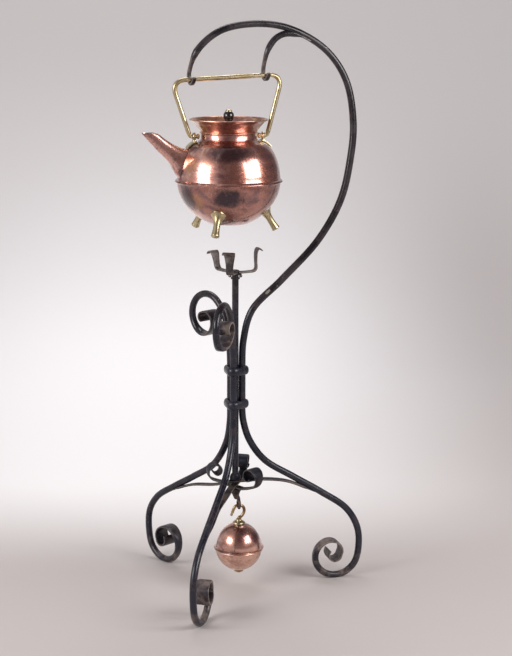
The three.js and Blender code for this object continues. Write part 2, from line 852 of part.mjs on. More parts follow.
// Outer line of the bowl, from the middle of the base up to the seam
function lowerLine(grow = 0) {
  const points = [[0, seamHeight - bellyDepth - grow]];
  const start = Math.asin(baseRadius / bodyRadius);
  const steps = 7;
  for (let i = 0; i <= steps; i += 1) {
    const angle = start + ((Math.PI / 2 - start) * i) / steps;
    const depth = (bellyDepth + grow) * Math.cos(angle) * (1 + 0.08 * (1 - i / steps));
    points.push([(bodyRadius + grow) * Math.sin(angle), seamHeight - Math.min(depth, bellyDepth + grow)]);
  }
  return points;
}

// The whole body as one solid, grown by a gap, to cut what is fitted to it
function bodySolid(grow) {
  return turned([...lowerLine(grow), ...upperLine(grow).slice(1), [0, neckTop]], kettleSides);
}

function upperShell() {
  const outer = upperLine();
  const inner = sheet(outer, kettleWall).slice(outer.length);
  const face = seamHeight + fitGap / 2;
  inner[inner.length - 1] = [bodyRadius - kettleWall, face];
  const flange = kettleSeamRadius - 0.9;
  return turned(closedOutline([
    [flange, face],
    [flange, face + flangeThickness],
    [outer[1][0] + 0.9, face + flangeThickness],
    ...outer.slice(1),
    ...inner,
  ]), kettleSides);
}

function lowerShell() {
  const outer = lowerLine();
  const inner = sheet(outer, kettleWall).slice(outer.length);
  const face = seamHeight - fitGap / 2;
  inner[0] = [bodyRadius - kettleWall, face];
  inner[inner.length - 1] = [0, outer[0][1] + kettleWall];
  return turned([
    ...outer.slice(0, -1),
    [bodyRadius - 0.2, face - flangeThickness - 1.2],
    [kettleSeamRadius - 0.7, face - flangeThickness],
    [kettleSeamRadius, face - flangeThickness / 2],
    [kettleSeamRadius - 0.3, face],
    ...inner,
  ], kettleSides);
}

const coneBottom = neckTop + fitGap + 2.6;
const coneSlope = (rimRadius - neckRadius) / (rimHeight - coneBottom);
const coneRadius = (z) => neckRadius + (z - coneBottom) * coneSlope;
const coneWall = kettleWall * Math.sqrt(1 + coneSlope ** 2);

function mouthFunnel() {
  const bottom = neckTop + fitGap;
  const rim = rimHeight - rimBead;
  return turned(closedOutline([
    [neckRadius - kettleWall, bottom],
    [neckRadius + 0.6, bottom],
    [neckRadius + 1.6, bottom + 1.2],
    [neckRadius + 0.2, coneBottom],
    [coneRadius(rim), rim],
    [rimRadius + rimBead * 0.3, rimHeight - rimBead * 0.75],
    [rimRadius + rimBead * 0.2, rimHeight],
    [rimRadius - coneWall, rimHeight],
    [neckRadius - kettleWall, coneBottom],
  ]), kettleSides);
}

// Rings of the spout from inside the body to its level mouth; inset thins it on all sides.
function spoutRings(inset) {
  const seat = kettleX - bodyRadius;
  const overshoot = inset > 0 ? 2 : 0;
  const stations = [
    [seat + 24 + 2 * overshoot, seamHeight + 21, -1, 0.2, 50, 34],
    [seat + 4, seamHeight + 24.5, -0.9, 0.45, 45, 29],
    [seat - 8, seamHeight + 33, -0.7, 0.7, 33, 24],
    [seat - 22, seamHeight + 49, -0.6, 0.8, 24, 19],
    [-spoutReach + 15, spoutTipHeight - 10, -0.45, 0.9, 19, 16],
    [-spoutReach + 10, spoutTipHeight, 0, 1, 20, 14.5],
  ];
  if (inset > 0) {
    stations.push([-spoutReach + 8.5, spoutTipHeight + 4, 0, 1, 20, 14.5]);
  }
  return stations.map(([x, z, dx, dz, height, width]) => {
    const centre = new THREE.Vector3(x, 0, z);
    const along = new THREE.Vector3(dx, 0, dz);
    return section(centre, along, sideways, width - 2 * inset, height - 2 * inset, 20, 2.3);
  });
}

function atKettle(geometry) {
  geometry.translate(kettleX, 0, 0);
  return geometry;
}

function spout() {
  return cut(loft(spoutRings(0)), loft(spoutRings(kettleWall)), atKettle(bodySolid(fitGap)));
}

function piercedUpperShell() {
  return cut(atKettle(upperShell()), loft(spoutRings(kettleWall)));
}

// A cast foot: trumpet flange against the bowl, then a plain stem that splays outwards
function kettleFoot(azimuth) {
  const top = new THREE.Vector3(footTopReach, 0, seamHeight - bellyDepth * 0.72);
  const bottom = new THREE.Vector3(footBottomReach, 0, footBottomHeight);
  const length = top.distanceTo(bottom);
  const foot = turned([
    [0, 0],
    [footStemRadius + 0.2, 0],
    [footStemRadius + 0.5, 1],
    [footStemRadius, 2.4],
    [footStemRadius, length * 0.45],
    [footStemRadius * 1.25, length * 0.66],
    [footFlangeRadius * 0.72, length * 0.84],
    [footFlangeRadius, length * 0.95],
    [footFlangeRadius, length + 9],
    [0, length + 9],
  ], 24);
  const lean = new THREE.Quaternion().setFromUnitVectors(up, top.clone().sub(bottom).normalize());
  foot.applyQuaternion(lean);
  foot.translate(bottom.x, bottom.y, bottom.z);
  foot.rotateZ(azimuth);
  return atKettle(cut(foot, bodySolid(fitGap)));
}

const pinBore = handleDiameter / 2 + runningGap;

// An ear: an upright eye on a plate that follows the shoulder; side is -1 over the spout
function ear(side) {
  const eye = new THREE.Shape();
  eye.moveTo(-6.5, -16);
  eye.lineTo(6.5, -16);
  eye.lineTo(earEyeRadius, 0);
  eye.absarc(0, 0, earEyeRadius, 0, Math.PI, false);
  eye.closePath();
  const bore = new THREE.Path();
  bore.absarc(0, 0, pinBore, 0, 2 * Math.PI, true);
  eye.holes.push(bore);
  const tab = new THREE.ExtrudeGeometry(eye, { depth: earThickness, bevelEnabled: false, curveSegments: 10 });
  tab.translate(0, 0, -earThickness / 2);
  tab.rotateX(Math.PI / 2);
  tab.rotateZ(Math.PI / 2);
  tab.translate(side * earHalfSpan, 0, earHeight);
  const plate = new THREE.BoxGeometry(15.5, 15, 40);
  plate.translate(side * (earHalfSpan + 3.2), 0, earHeight - 14);
  const layer = solid(plate).intersect(solid(bodySolid(fitGap + 2.4)));
  const lug = solid(tab).add(layer).subtract(solid(bodySolid(fitGap)));
  return atKettle(geometryOf(lug));
}

// Points of a bent bar with arcs at its corners
function bentPath(corners, radii) {
  const path = new THREE.CurvePath();
  let start = corners[0];
  for (let i = 1; i < corners.length - 1; i += 1) {
    const [before, corner, after] = [corners[i - 1], corners[i], corners[i + 1]];
    const back = new THREE.Vector3().subVectors(before, corner).normalize();
    const on = new THREE.Vector3().subVectors(after, corner).normalize();
    const reach = radii[i - 1] / Math.tan(back.angleTo(on) / 2);
    const arcStart = corner.clone().addScaledVector(back, reach);
    const arcEnd = corner.clone().addScaledVector(on, reach);
    path.add(new THREE.LineCurve3(start, arcStart));
    path.add(new THREE.QuadraticBezierCurve3(arcStart, corner, arcEnd));
    start = arcEnd;
  }
  path.add(new THREE.LineCurve3(start, corners[corners.length - 1]));
  return path;
}

// The bail: both ends turn in through the ears and are peened over inside
function bailHandle() {
  const armFoot = earHalfSpan + earThickness / 2 + runningGap + handleDiameter / 2 + 0.3;
  const inner = earHalfSpan - earThickness / 2 - 3.4;
  const corner = (side, x, z) => new THREE.Vector3(kettleX + side * x, 0, z);
  const topLeft = barHeight(kettleX - handleLeftSpan);
  const topRight = barHeight(kettleX + handleRightSpan);
  const path = bentPath([
    corner(-1, inner, earHeight),
    corner(-1, armFoot, earHeight),
    corner(-1, handleLeftSpan, topLeft),
    corner(1, handleRightSpan, topRight),
    corner(1, armFoot, earHeight),
    corner(1, inner, earHeight),
  ], [2.6, handleBend, handleBend, 2.6]);
  const rings = [];
  const places = [0];
  for (const curve of path.curves) {
    const straight = curve instanceof THREE.LineCurve3;
    const steps = straight ? 1 : 5;
    for (let i = 1; i <= steps; i += 1) {
      places.push([curve, i / steps]);
    }
  }
  places[0] = [path.curves[0], 0];
  for (const [curve, t] of places) {
    rings.push(section(curve.getPoint(t), curve.getTangent(t), sideways, handleDiameter, handleDiameter, 8));
  }
  const heads = [-1, 1].map((side) => {
    const head = turned([[0, -2.6], [2.6, -2.4], [4.4, -1], [4.4, 0.8], [3, 2], [0, 2.2]], 16);
    head.rotateY((side * Math.PI) / 2);
    head.translate(kettleX + side * (inner - 0.4), 0, earHeight);
    return head;
  });
  return join(loft(rings), ...heads);
}

function lidPlate() {
  const edge = coneRadius(lidSeatHeight) - coneWall - fitGap;
  const bore = knobScrewDiameter / 2 + fitGap;
  const flat = edge * 0.8;
  return turned(closedOutline([
    [edge - 1.4, lidSeatHeight - 1.4],
    [edge, lidSeatHeight],
    [edge - 0.6, lidSeatHeight + 0.6],
    [flat, lidSeatHeight + 0.6],
    [edge * 0.5, lidSeatHeight + lidDome * 0.7],
    [7, lidSeatHeight + lidDome],
    [bore, lidSeatHeight + lidDome],
    [bore, lidSeatHeight + lidDome - lidWall],
    [7, lidSeatHeight + lidDome - lidWall],
    [edge * 0.5, lidSeatHeight + lidDome * 0.7 - lidWall],
    [flat, lidSeatHeight + 0.6 - lidWall],
  ]), 28);
}

const knobBottom = lidSeatHeight + lidDome + fitGap;

function lidKnob() {
  const bore = knobScrewDiameter / 2 + fitGap;
  return turned(closedOutline([
    [bore, knobBottom],
    [5.6, knobBottom],
    [5.4, knobBottom + 1.2],
    [4.6, knobBottom + 3],
    [5.4, knobBottom + 5],
    [7.1, knobBottom + knobHeight * 0.42],
    [knobRadius, knobBottom + knobHeight * 0.6],
    [7, knobBottom + knobHeight * 0.78],
    [5.2, knobBottom + knobHeight * 0.9],
    [bore, knobBottom + knobHeight * 0.9],
  ]), 20);
}

const capSeat = knobBottom + knobHeight * 0.9 + fitGap;

function knobCap() {
  const bore = knobScrewDiameter / 2 + fitGap;
  return turned([
    [bore, capSeat],
    [4.8, capSeat],
    [4.6, capSeat + 1.6],
    [3.6, capSeat + 3.6],
    [1.8, capSeat + 4.8],
    [0, capSeat + 5.1],
    [0, capSeat + 3.2],
    [bore, capSeat + 3.2],
    [bore, capSeat],
  ], 24);
}

function knobScrew() {
  const head = lidSeatHeight + lidDome - lidWall - fitGap;
  return turned([
    [0, head - 2.6],
    [4, head - 2.4],
    [4.6, head],
    [knobScrewDiameter / 2, head],
    [knobScrewDiameter / 2, capSeat + 2.8],
    [0, capSeat + 2.8],
  ], 16);
}

// Assembly
const kettleOnStand = new THREE.Group();
const plan = new THREE.Group();
plan.position.set(-planOffset, -planBack, 0);
kettleOnStand.add(plan);

function add(name, geometry, material, turn = 0, group = plan) {
  geometry.deleteAttribute('normal');
  const shaded = geometry.toNonIndexed();
  shaded.computeVertexNormals();
  const mesh = new THREE.Mesh(shaded, material);
  mesh.name = name;
  mesh.rotation.z = turn;
  group.add(mesh);
}

const ball = new THREE.Group();
ball.position.x = ballOffset;
plan.add(ball);

add('crook_rod', crookRod(legs[0]), blackIron);
add('branch_hook', branchHook(), blackIron);
add('stem', stem(), blackIron);
add('upper_collar', collar(upperCollarHeight), blackIron);
add('lower_collar', collar(lowerCollarHeight), blackIron);
add('stem_capital', stemCapital(), blackIron);
add('trivet_rivet', trivetRivet(), bareIron);
add('hub_dome', hubDome(), blackIron);
add('hub_finial', hubFinial(), bareIron);
for (const leg of legs) {
  const azimuth = radians(leg.turn * legSpacing);
  if (leg.turn !== 0) {
    add(`${leg.name}_rod`, scrolledRod(leg), blackIron, azimuth);
  }
  add(`trivet_prong_${leg.name}`, prong(leg), bareIron, azimuth);
  add(`brace_${leg.name}`, brace(leg), bareIron, azimuth);
  add(`kettle_foot_${leg.name}`, kettleFoot(azimuth), brass);
}

add('ball_hook', ballHook(), brass);
add('ball_cap', ballCap(), brass, 0, ball);
add('ball_upper_half', ballHalf(1), copper, 0, ball);
add('ball_lower_half', ballHalf(-1), copper, 0, ball);
add('ball_tie_rod', tieRod(), bareIron, 0, ball);
add('ball_nut', ballNut(), brass, 0, ball);

add('kettle_upper_shell', piercedUpperShell(), copper);
add('kettle_lower_shell', atKettle(lowerShell()), copper);
add('mouth_funnel', atKettle(mouthFunnel()), copper);
add('spout', spout(), copper);
add('ear_left', ear(-1), brass);
add('ear_right', ear(1), brass);
add('bail_handle', bailHandle(), brass);
add('lid_plate', atKettle(lidPlate()), copper);
add('lid_knob', atKettle(lidKnob()), ebony);
add('knob_cap', atKettle(knobCap()), brass);
add('knob_screw', atKettle(knobScrew()), brass);

export default kettleOnStand;
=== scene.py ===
from math import asin, ceil, copysign, cos, hypot, pi, radians, sin, sqrt, tan

import bpy
from mathutils import Matrix, Vector


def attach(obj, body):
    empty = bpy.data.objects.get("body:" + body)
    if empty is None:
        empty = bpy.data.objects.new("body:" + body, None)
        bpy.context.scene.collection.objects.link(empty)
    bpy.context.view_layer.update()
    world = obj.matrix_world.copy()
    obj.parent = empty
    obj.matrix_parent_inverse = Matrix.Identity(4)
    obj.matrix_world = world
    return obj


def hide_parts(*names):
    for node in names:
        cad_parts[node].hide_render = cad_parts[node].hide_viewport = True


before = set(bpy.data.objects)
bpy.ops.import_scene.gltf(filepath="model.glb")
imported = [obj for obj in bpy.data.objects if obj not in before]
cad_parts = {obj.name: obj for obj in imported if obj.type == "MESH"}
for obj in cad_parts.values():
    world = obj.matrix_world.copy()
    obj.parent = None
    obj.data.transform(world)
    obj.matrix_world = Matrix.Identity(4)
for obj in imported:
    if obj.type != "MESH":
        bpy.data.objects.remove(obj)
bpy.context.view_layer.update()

# Copper kettle on a wrought iron floor stand. Sizes are in millimetres from the stem's foot, with +X
# along the right leg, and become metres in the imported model's frame when a mesh is made.
stemPlace = Vector((-31.75, -1.5, 0))
up, back = Vector((0, 0, 1)), Vector((0, 1, 0))


class Sizes(dict):
    # a dictionary whose sizes are read as kettle.radius
    __getattr__ = dict.__getitem__


def toModel(point, turn=0):
    return (Matrix.Rotation(radians(turn), 3, "Z") @ Vector(point) + stemPlace) / 1000


def ease(low, high, value):
    t = min(1, max(0, (value - low) / (high - low)))
    return t * t * (3 - 2 * t)


def between(low, high, share):
    return low + (high - low) * share


def steady(value):
    return lambda place: value


def clearSelection():
    if bpy.context.object and bpy.context.object.mode != "OBJECT":
        bpy.ops.object.mode_set(mode="OBJECT")
    bpy.ops.object.select_all(action="DESELECT")


def pick(piece):
    clearSelection()
    piece.select_set(True)
    bpy.context.view_layer.objects.active = piece


def modify(piece, kind, **settings):
    # adds one modifier and applies it
    pick(piece)
    added = piece.modifiers.new(kind.lower(), kind)
    for key, value in settings.items():
        setattr(added, key, value)
    bpy.ops.object.modifier_apply(modifier=added.name)


def soften(piece, width, angle):
    modify(piece, "BEVEL", width=width / 1000, segments=2, limit_method="ANGLE", angle_limit=radians(angle))


def carve(piece, tool):
    modify(piece, "BOOLEAN", operation="DIFFERENCE", object=tool, solver="EXACT")
    bpy.data.objects.remove(tool)


def tidyMesh(piece, angle=35, gap=1e-6):
    # merges doubles, turns the faces outwards and smooths all but the sharp edges
    pick(piece)
    bpy.ops.object.mode_set(mode="EDIT")
    bpy.ops.mesh.select_all(action="SELECT")
    bpy.ops.mesh.remove_doubles(threshold=gap)
    bpy.ops.mesh.normals_make_consistent(inside=False)
    bpy.ops.object.mode_set(mode="OBJECT")
    bpy.ops.object.shade_smooth_by_angle(angle=radians(angle))
    return piece


def joined(name, pieces):
    clearSelection()
    for piece in pieces:
        piece.select_set(True)
    bpy.context.view_layer.objects.active = pieces[0]
    bpy.ops.object.join()
    pieces[0].name = name
    return pieces[0]


def evenly(fine, step):
    # the same line with its points a step apart
    runs = [0.0]
    for a, b in zip(fine, fine[1:]):
        runs.append(runs[-1] + (b - a).length)
    count = max(2, round(runs[-1] / step))
    line, i = [], 0
    for k in range(count + 1):
        goal = runs[-1] * k / count
        while i < len(fine) - 2 and runs[i + 1] < goal:
            i += 1
        line.append(fine[i].lerp(fine[i + 1], (goal - runs[i]) / max(1e-9, runs[i + 1] - runs[i])))
    return line


def smoothLine(corners, step=2.2):
    # a centripetal spline through the corners
    points = [Vector(corner) for corner in corners]
    padded = [2 * points[0] - points[1], *points, 2 * points[-1] - points[-2]]
    fine = []
    for before, start, end, after in zip(padded, padded[1:], padded[2:], padded[3:]):
        d0, d1, d2 = ((b - a).length ** 0.5 for a, b in ((before, start), (start, end), (end, after)))
        leave = ((start - before) / d0 - (end - before) / (d0 + d1) + (end - start) / d1) * d1
        arrive = ((end - start) / d1 - (after - start) / (d1 + d2) + (after - end) / d2) * d1
        count = max(6, ceil((end - start).length / 1.5))
        for k in range(count):
            t = k / count
            point = start.lerp(end, ease(0, 1, t)) + leave * (t * (1 - t) ** 2)
            fine.append(point - arrive * (t * t * (1 - t)))
    fine.append(points[-1])
    return evenly(fine, step)


def bezier(points, count):
    line = []
    for i in range(count + 1):
        layer = [Vector(point) for point in points]
        while len(layer) > 1:
            layer = [a.lerp(b, i / count) for a, b in zip(layer, layer[1:])]
        line.append(tuple(layer[0]))
    return line


def lengthOf(line):
    return sum((b - a).length for a, b in zip(line, line[1:]))


def inPlane(points):
    # [radius, height, sideways] becomes a place in the right leg's plane
    return [Vector((p[0], p[2] if len(p) > 2 else 0, p[1])) for p in points]


def section(here, along, across, width, thickness, power, sides):
    # a ring of points, round at power 2 and squarer as it grows, and how near each is to a flat's edge
    wide = (across - along * across.dot(along)).normalized()
    deep = along.cross(wide)
    ring, edges = [], []
    for k in range(sides):
        angle = 2 * pi * (k + 0.5) / sides
        u = copysign(abs(cos(angle)) ** (2 / power), cos(angle))
        v = copysign(abs(sin(angle)) ** (2 / power), sin(angle))
        ring.append(here + wide * (u * width / 2) + deep * (v * thickness / 2))
        edges.append(abs(u) ** 10 * min(1, max(0, (power - 2) / 2)))
    return ring, edges


def meshPiece(name, points, faces):
    mesh = bpy.data.meshes.new(name)
    mesh.from_pydata([tuple(point) for point in points], [], faces)
    piece = bpy.data.objects.new(name, mesh)
    bpy.context.scene.collection.objects.link(piece)
    return piece


def loft(name, rings, marks=None, closed=False, turn=0):
    # skins a row of rings; marks are numbers at their points that the looks read
    sides = len(rings[0])
    faces = []
    for i in range(len(rings) if closed else len(rings) - 1):
        a, b = i * sides, (i + 1) % len(rings) * sides
        faces += [(a + k, a + (k + 1) % sides, b + (k + 1) % sides, b + k) for k in range(sides)]
    if not closed:
        last = (len(rings) - 1) * sides
        faces += [tuple(range(sides))[::-1], tuple(range(last, last + sides))]
    piece = meshPiece(name, [toModel(point, turn) for ring in rings for point in ring], faces)
    for mark, values in (marks or {}).items():
        piece.data.attributes.new(mark, "FLOAT", "POINT").data.foreach_set("value", values)
    return piece


def forge(name, line, shapeAt, acrossAt=steady(back), sides=20, turn=0, onFloor=False, bevel=0.5):
    # a bar along a line; shapeAt(run) gives its width, thickness and power, acrossAt(share) its width's way
    step = lengthOf(line) / (len(line) - 1)
    rings, edge, flat = [], [], []
    for i, here in enumerate(line):
        along = (line[min(i + 1, len(line) - 1)] - line[max(i - 1, 0)]).normalized()
        shape = shapeAt(i * step)
        ring, ringEdge = section(here, along, acrossAt(i / (len(line) - 1)), *shape, sides)
        if onFloor:
            for point in ring:
                point.z = max(point.z, 0)
        rings.append(ring)
        edge += ringEdge
        flat += [min(1, max(0, (shape[2] - 2) / 2))] * sides
    piece = loft(name, rings, {"edge": edge, "flat": flat}, turn=turn)
    soften(piece, bevel, 60)
    return tidyMesh(piece, 40, 1e-7)


def drawnOut(line, bar, startTail=None, endTail=None):
    # a bar whose ends are drawn out flat
    length = lengthOf(line)

    def shape(run):
        for distance, tail in ((run, startTail), (length - run, endTail)):
            if tail and distance < tail.length:
                t = ease(0, 1, (1 - distance / tail.length) * tail.spread)
                early = ease(0, 0.7, t)
                return (between(bar[0], tail.width, t), between(bar[1], tail.thickness, early),
                        between(bar[2], tail.get("power", 4), early))
        return bar
    return shape


def vertexAt(name, place):
    # a piece of one vertex, left in edit mode to be drawn out
    clearSelection()
    bpy.ops.mesh.primitive_plane_add(size=0.001, location=place)
    piece = bpy.context.object
    piece.name = piece.data.name = name
    bpy.ops.object.mode_set(mode="EDIT")
    bpy.ops.mesh.merge(type="CENTER")
    return piece


def spin(steps, angle, centre, axis):
    bpy.ops.mesh.select_all(action="SELECT")
    bpy.ops.mesh.spin(steps=steps, angle=angle, center=centre, axis=axis)
    bpy.ops.object.mode_set(mode="OBJECT")
    bpy.ops.object.transform_apply(location=True, rotation=True, scale=True)


def turned(name, outline, base=(0, 0, 0), axis=up, steps=96, bevel=0):
    # traces an outline of [radius, height] from a single vertex and spins it round its axis; an outline
    # that ends away from the axis is closed
    closing = [outline[0]] if outline[-1][0] > 0 else []
    along = Vector(axis).normalized()
    outward = (back if abs(along.y) < 0.9 else up).cross(along).normalized()
    points = [toModel(Vector(base) + outward * r + along * z) for r, z in [*outline, *closing]]
    piece = vertexAt(name, points[0])
    for before, after in zip(points, points[1:]):
        bpy.ops.mesh.extrude_vertices_move(TRANSFORM_OT_translate={"value": after - before})
    spin(steps, 2 * pi, toModel(base), along)
    tidyMesh(piece, 32, 2e-6)
    if bevel:
        soften(piece, bevel, 32)
        bpy.ops.object.shade_smooth_by_angle(angle=radians(32))
    return piece


class Signal:
    # a node's output that can be used in sums
    def __init__(self, look, socket):
        self.look, self.socket = look, socket

    def maths(self, operation, *values):
        return self.look.node("Math", {"operation": operation}, dict(enumerate(values)))

    def __add__(self, other):
        return self.maths("ADD", self, other)

    def __sub__(self, other):
        return self.maths("SUBTRACT", self, other)

    def __rsub__(self, other):
        return self.maths("SUBTRACT", other, self)

    def __mul__(self, other):
        return self.maths("MULTIPLY", self, other)

    def atLeast(self, other):
        return self.maths("MAXIMUM", self, other)

    def atMost(self, other):
        return self.maths("MINIMUM", self, other)

    def grade(self, low, high, toLow=0.0, toHigh=1.0):
        values = {"Value": self, "From Min": low, "From Max": high, "To Min": toLow, "To Max": toHigh}
        return self.look.node("MapRange", {"interpolation_type": "SMOOTHSTEP"}, values)


def colour(red, green, blue):
    # an sRGB colour of 0 to 255 as the linear one that a socket takes
    shares = (red / 255, green / 255, blue / 255)
    return (*(v / 12.92 if v <= 0.04045 else ((v + 0.055) / 1.055) ** 2.4 for v in shares), 1)


class Look:
    # a material with the few ways of making nodes that this scene uses
    def __init__(self, name):
        self.material = bpy.data.materials.new(name)
        self.material.use_nodes = True
        self.tree = self.material.node_tree
        self.shader = self.tree.nodes["Principled BSDF"]

    def node(self, kind, settings=None, values=None, output=0):
        made = self.tree.nodes.new("ShaderNode" + kind)
        for key, value in (settings or {}).items():
            setattr(made, key, value)
        for key, value in (values or {}).items():
            self.feed(made.inputs[key], value)
        return Signal(self, made.outputs[output])

    def feed(self, socket, value):
        if isinstance(value, Signal):
            self.tree.links.new(value.socket, socket)
        else:
            socket.default_value = value

    def place(self, scale=(1, 1, 1), offset=(0, 0, 0)):
        where = self.node("TexCoord", output=3)
        return self.node("Mapping", None, {"Vector": where, "Scale": scale, "Location": offset})

    def cloud(self, scale, detail=4.0, roughness=0.55, stretch=(1, 1, 1), offset=(0, 0, 0), distortion=0.0):
        values = {"Vector": self.place(stretch, offset), "Scale": scale, "Detail": detail}
        return self.node("TexNoise", None, {**values, "Roughness": roughness, "Distortion": distortion})

    def mix(self, share, *ends):
        # an end of three numbers is an sRGB colour
        first, second = (colour(*end) if isinstance(end, tuple) and len(end) == 3 else end for end in ends)
        return self.node("Mix", {"data_type": "RGBA"}, {0: share, 6: first, 7: second}, output=2)

    def mark(self, name):
        return self.node("Attribute", {"attribute_name": name}, output=2)

    def axis(self, name):
        return self.node("SeparateXYZ", None, {0: self.node("TexCoord", output=3)}, output="XYZ".index(name))

    def near(self, point, radius, soft, stretch=(1, 1, 1)):
        # 1 round a place given in millimetres from the stem's foot, fading out past the radius
        middle = [value * factor for value, factor in zip(toModel(point), stretch)]
        ends = {0: self.place(stretch), 1: middle}
        away = self.node("VectorMath", {"operation": "DISTANCE"}, ends, output=1)
        return away.grade((radius + soft) / 1000, radius / 1000)

    def bump(self, height, strength, distance, normal=None):
        values = {"Height": height, "Strength": strength, "Distance": distance}
        return self.node("Bump", None, {**values, **({"Normal": normal} if normal else {})})

    def set(self, **values):
        for key, value in values.items():
            self.feed(self.shader.inputs[key.replace("_", " ")], value)
        return self.material


def blackPaint(name="blackPaint", wear=1.0, bareHooks=False):
    # blue-black gloss paint over forged iron: brown on the drawn-out ends and in streaks near the floor,
    # chipped here and there
    look = Look(name)
    edge, flat = look.mark("edge"), look.mark("flat")
    grime = look.cloud(26, 5, 0.6)
    streaks = look.cloud(60, 4, 0.65, distortion=0.5)
    fine = look.cloud(420, 3, 0.6)
    specks = look.cloud(230, 3, 0.7)
    paint = look.mix(grime.grade(0.38, 0.66), (17, 19, 33), (33, 34, 48))
    high = look.axis("Z").grade(0.36, 0.5)
    paint = look.mix(high, paint, look.mix(grime.grade(0.38, 0.62), (20, 17, 22), (48, 42, 46)))
    paint = look.mix(streaks.grade(0.5, 0.68, 0, 0.75), paint, (62, 51, 56))
    patchy = (streaks * 0.6 + grime * 0.4).grade(0.38, 0.57, 0.15 * wear, 0.9 * wear)
    worn = flat.grade(0.3, 0.9) * patchy
    if bareHooks:
        height, along = look.axis("Z"), look.axis("X")
        hook = height.grade(0.81, 0.79) * height.grade(0.772, 0.785) * along.grade(0.07, 0.05)
        scraped = look.cloud(130, 4, 0.7, stretch=(1, 1, 0.3)).grade(0.46, 0.58)
        worn = (worn * height.grade(0.7, 0.6)).atLeast(hook * scraped.grade(0, 1, 0.15, 0.85))
    brown = look.mix(streaks.grade(0.42, 0.66), (72, 60, 59), (122, 108, 100))
    # browner, rougher streaks within about 5 cm of the floor
    nearFloor = look.axis("Z").grade(0.05, 0.008) * streaks.grade(0.38, 0.62, 0.15, 0.75)
    paint = look.mix(worn.atLeast(nearFloor), paint, brown)
    paint = look.mix(fine.grade(0.5, 0.75, 0, 0.35) * worn, paint, (30, 24, 28))
    chips = (specks + grime * 0.3).grade(0.86, 0.88)
    if bareHooks:
        # a long chip where the crook leaves the stem, and small ones above it
        bareSpot = look.near((46.6, -5.5, 456.4), 1.5, 1.3).atLeast(look.near((50.2, -5.5, 459.7), 1.5, 1.3))
        bareSpot = bareSpot.atLeast(look.near((48.4, -5.5, 458), 1.7, 1.3))
        small = (specks + look.near((68, -5, 478), 16, 14) * 0.09).grade(0.74, 0.77)
        chips = chips.atLeast(bareSpot).atLeast(small)
    bare = chips.atLeast((edge * flat * 0.8 + specks * 0.8).grade(0.95, 1.2, 0, 0.2 + 0.35 * wear))
    base = look.mix(bare, paint, look.mix(fine, (108, 98, 93), (186, 172, 162)))
    rough = (grime.grade(0.3, 0.75, 0.2, 0.4) - high * 0.04 + worn * 0.2 + nearFloor * 0.15).atLeast(bare * 0.5)
    skin = look.bump(look.cloud(80, 2, 0.5) + fine * 0.12, 0.26, 0.001)
    return look.set(Base_Color=base, Metallic=bare * 0.5, Roughness=rough, IOR=1.5,
                    Normal=look.bump(1 - bare, 0.5, 0.0002, skin))


def wornIron(name, light, dark, shine, sooty=False):
    # iron worn bare: mottled brown-grey, with paler edges and pits
    look = Look(name)
    edge = look.mark("edge")
    patches = look.cloud(45, 6, 0.62)
    fine = look.cloud(300, 4, 0.65)
    pits = look.node("TexVoronoi", None, {"Vector": look.place(), "Scale": 260}).grade(0.0, 0.28, 1, 0)
    pits = pits * look.cloud(60, 3, 0.5).grade(0.5, 0.62)
    base = look.mix(patches.grade(0.4, 0.62), dark, light)
    base = look.mix(fine.grade(0.5, 0.75, 0, 0.45), base, (18, 18, 22))
    if sooty:
        # the rolls round the hub keep their paint
        soot = look.near((0, 0, 182), 44, 14) * look.axis("Z").grade(0.166, 0.174)
        soot = soot * patches.grade(0.66, 0.5, 0.4, 0.95)
        base = look.mix(soot, base, look.mix(fine, (22, 24, 34), (50, 52, 64)))
    bright = (edge + fine * 0.6).grade(0.95, 1.35, 0, 0.45)
    base = look.mix(bright, base, (160, 154, 148))
    rough = (patches.grade(0.3, 0.7, shine, shine + 0.2) - bright * 0.15).atLeast(0.2)
    skin = look.bump(look.cloud(110, 3, 0.5) + fine * 0.15, 0.35, 0.0009)
    return look.set(Base_Color=base, Metallic=0.7, Roughness=rough,
                    Normal=look.bump(1 - pits, 0.4, 0.0003, skin))


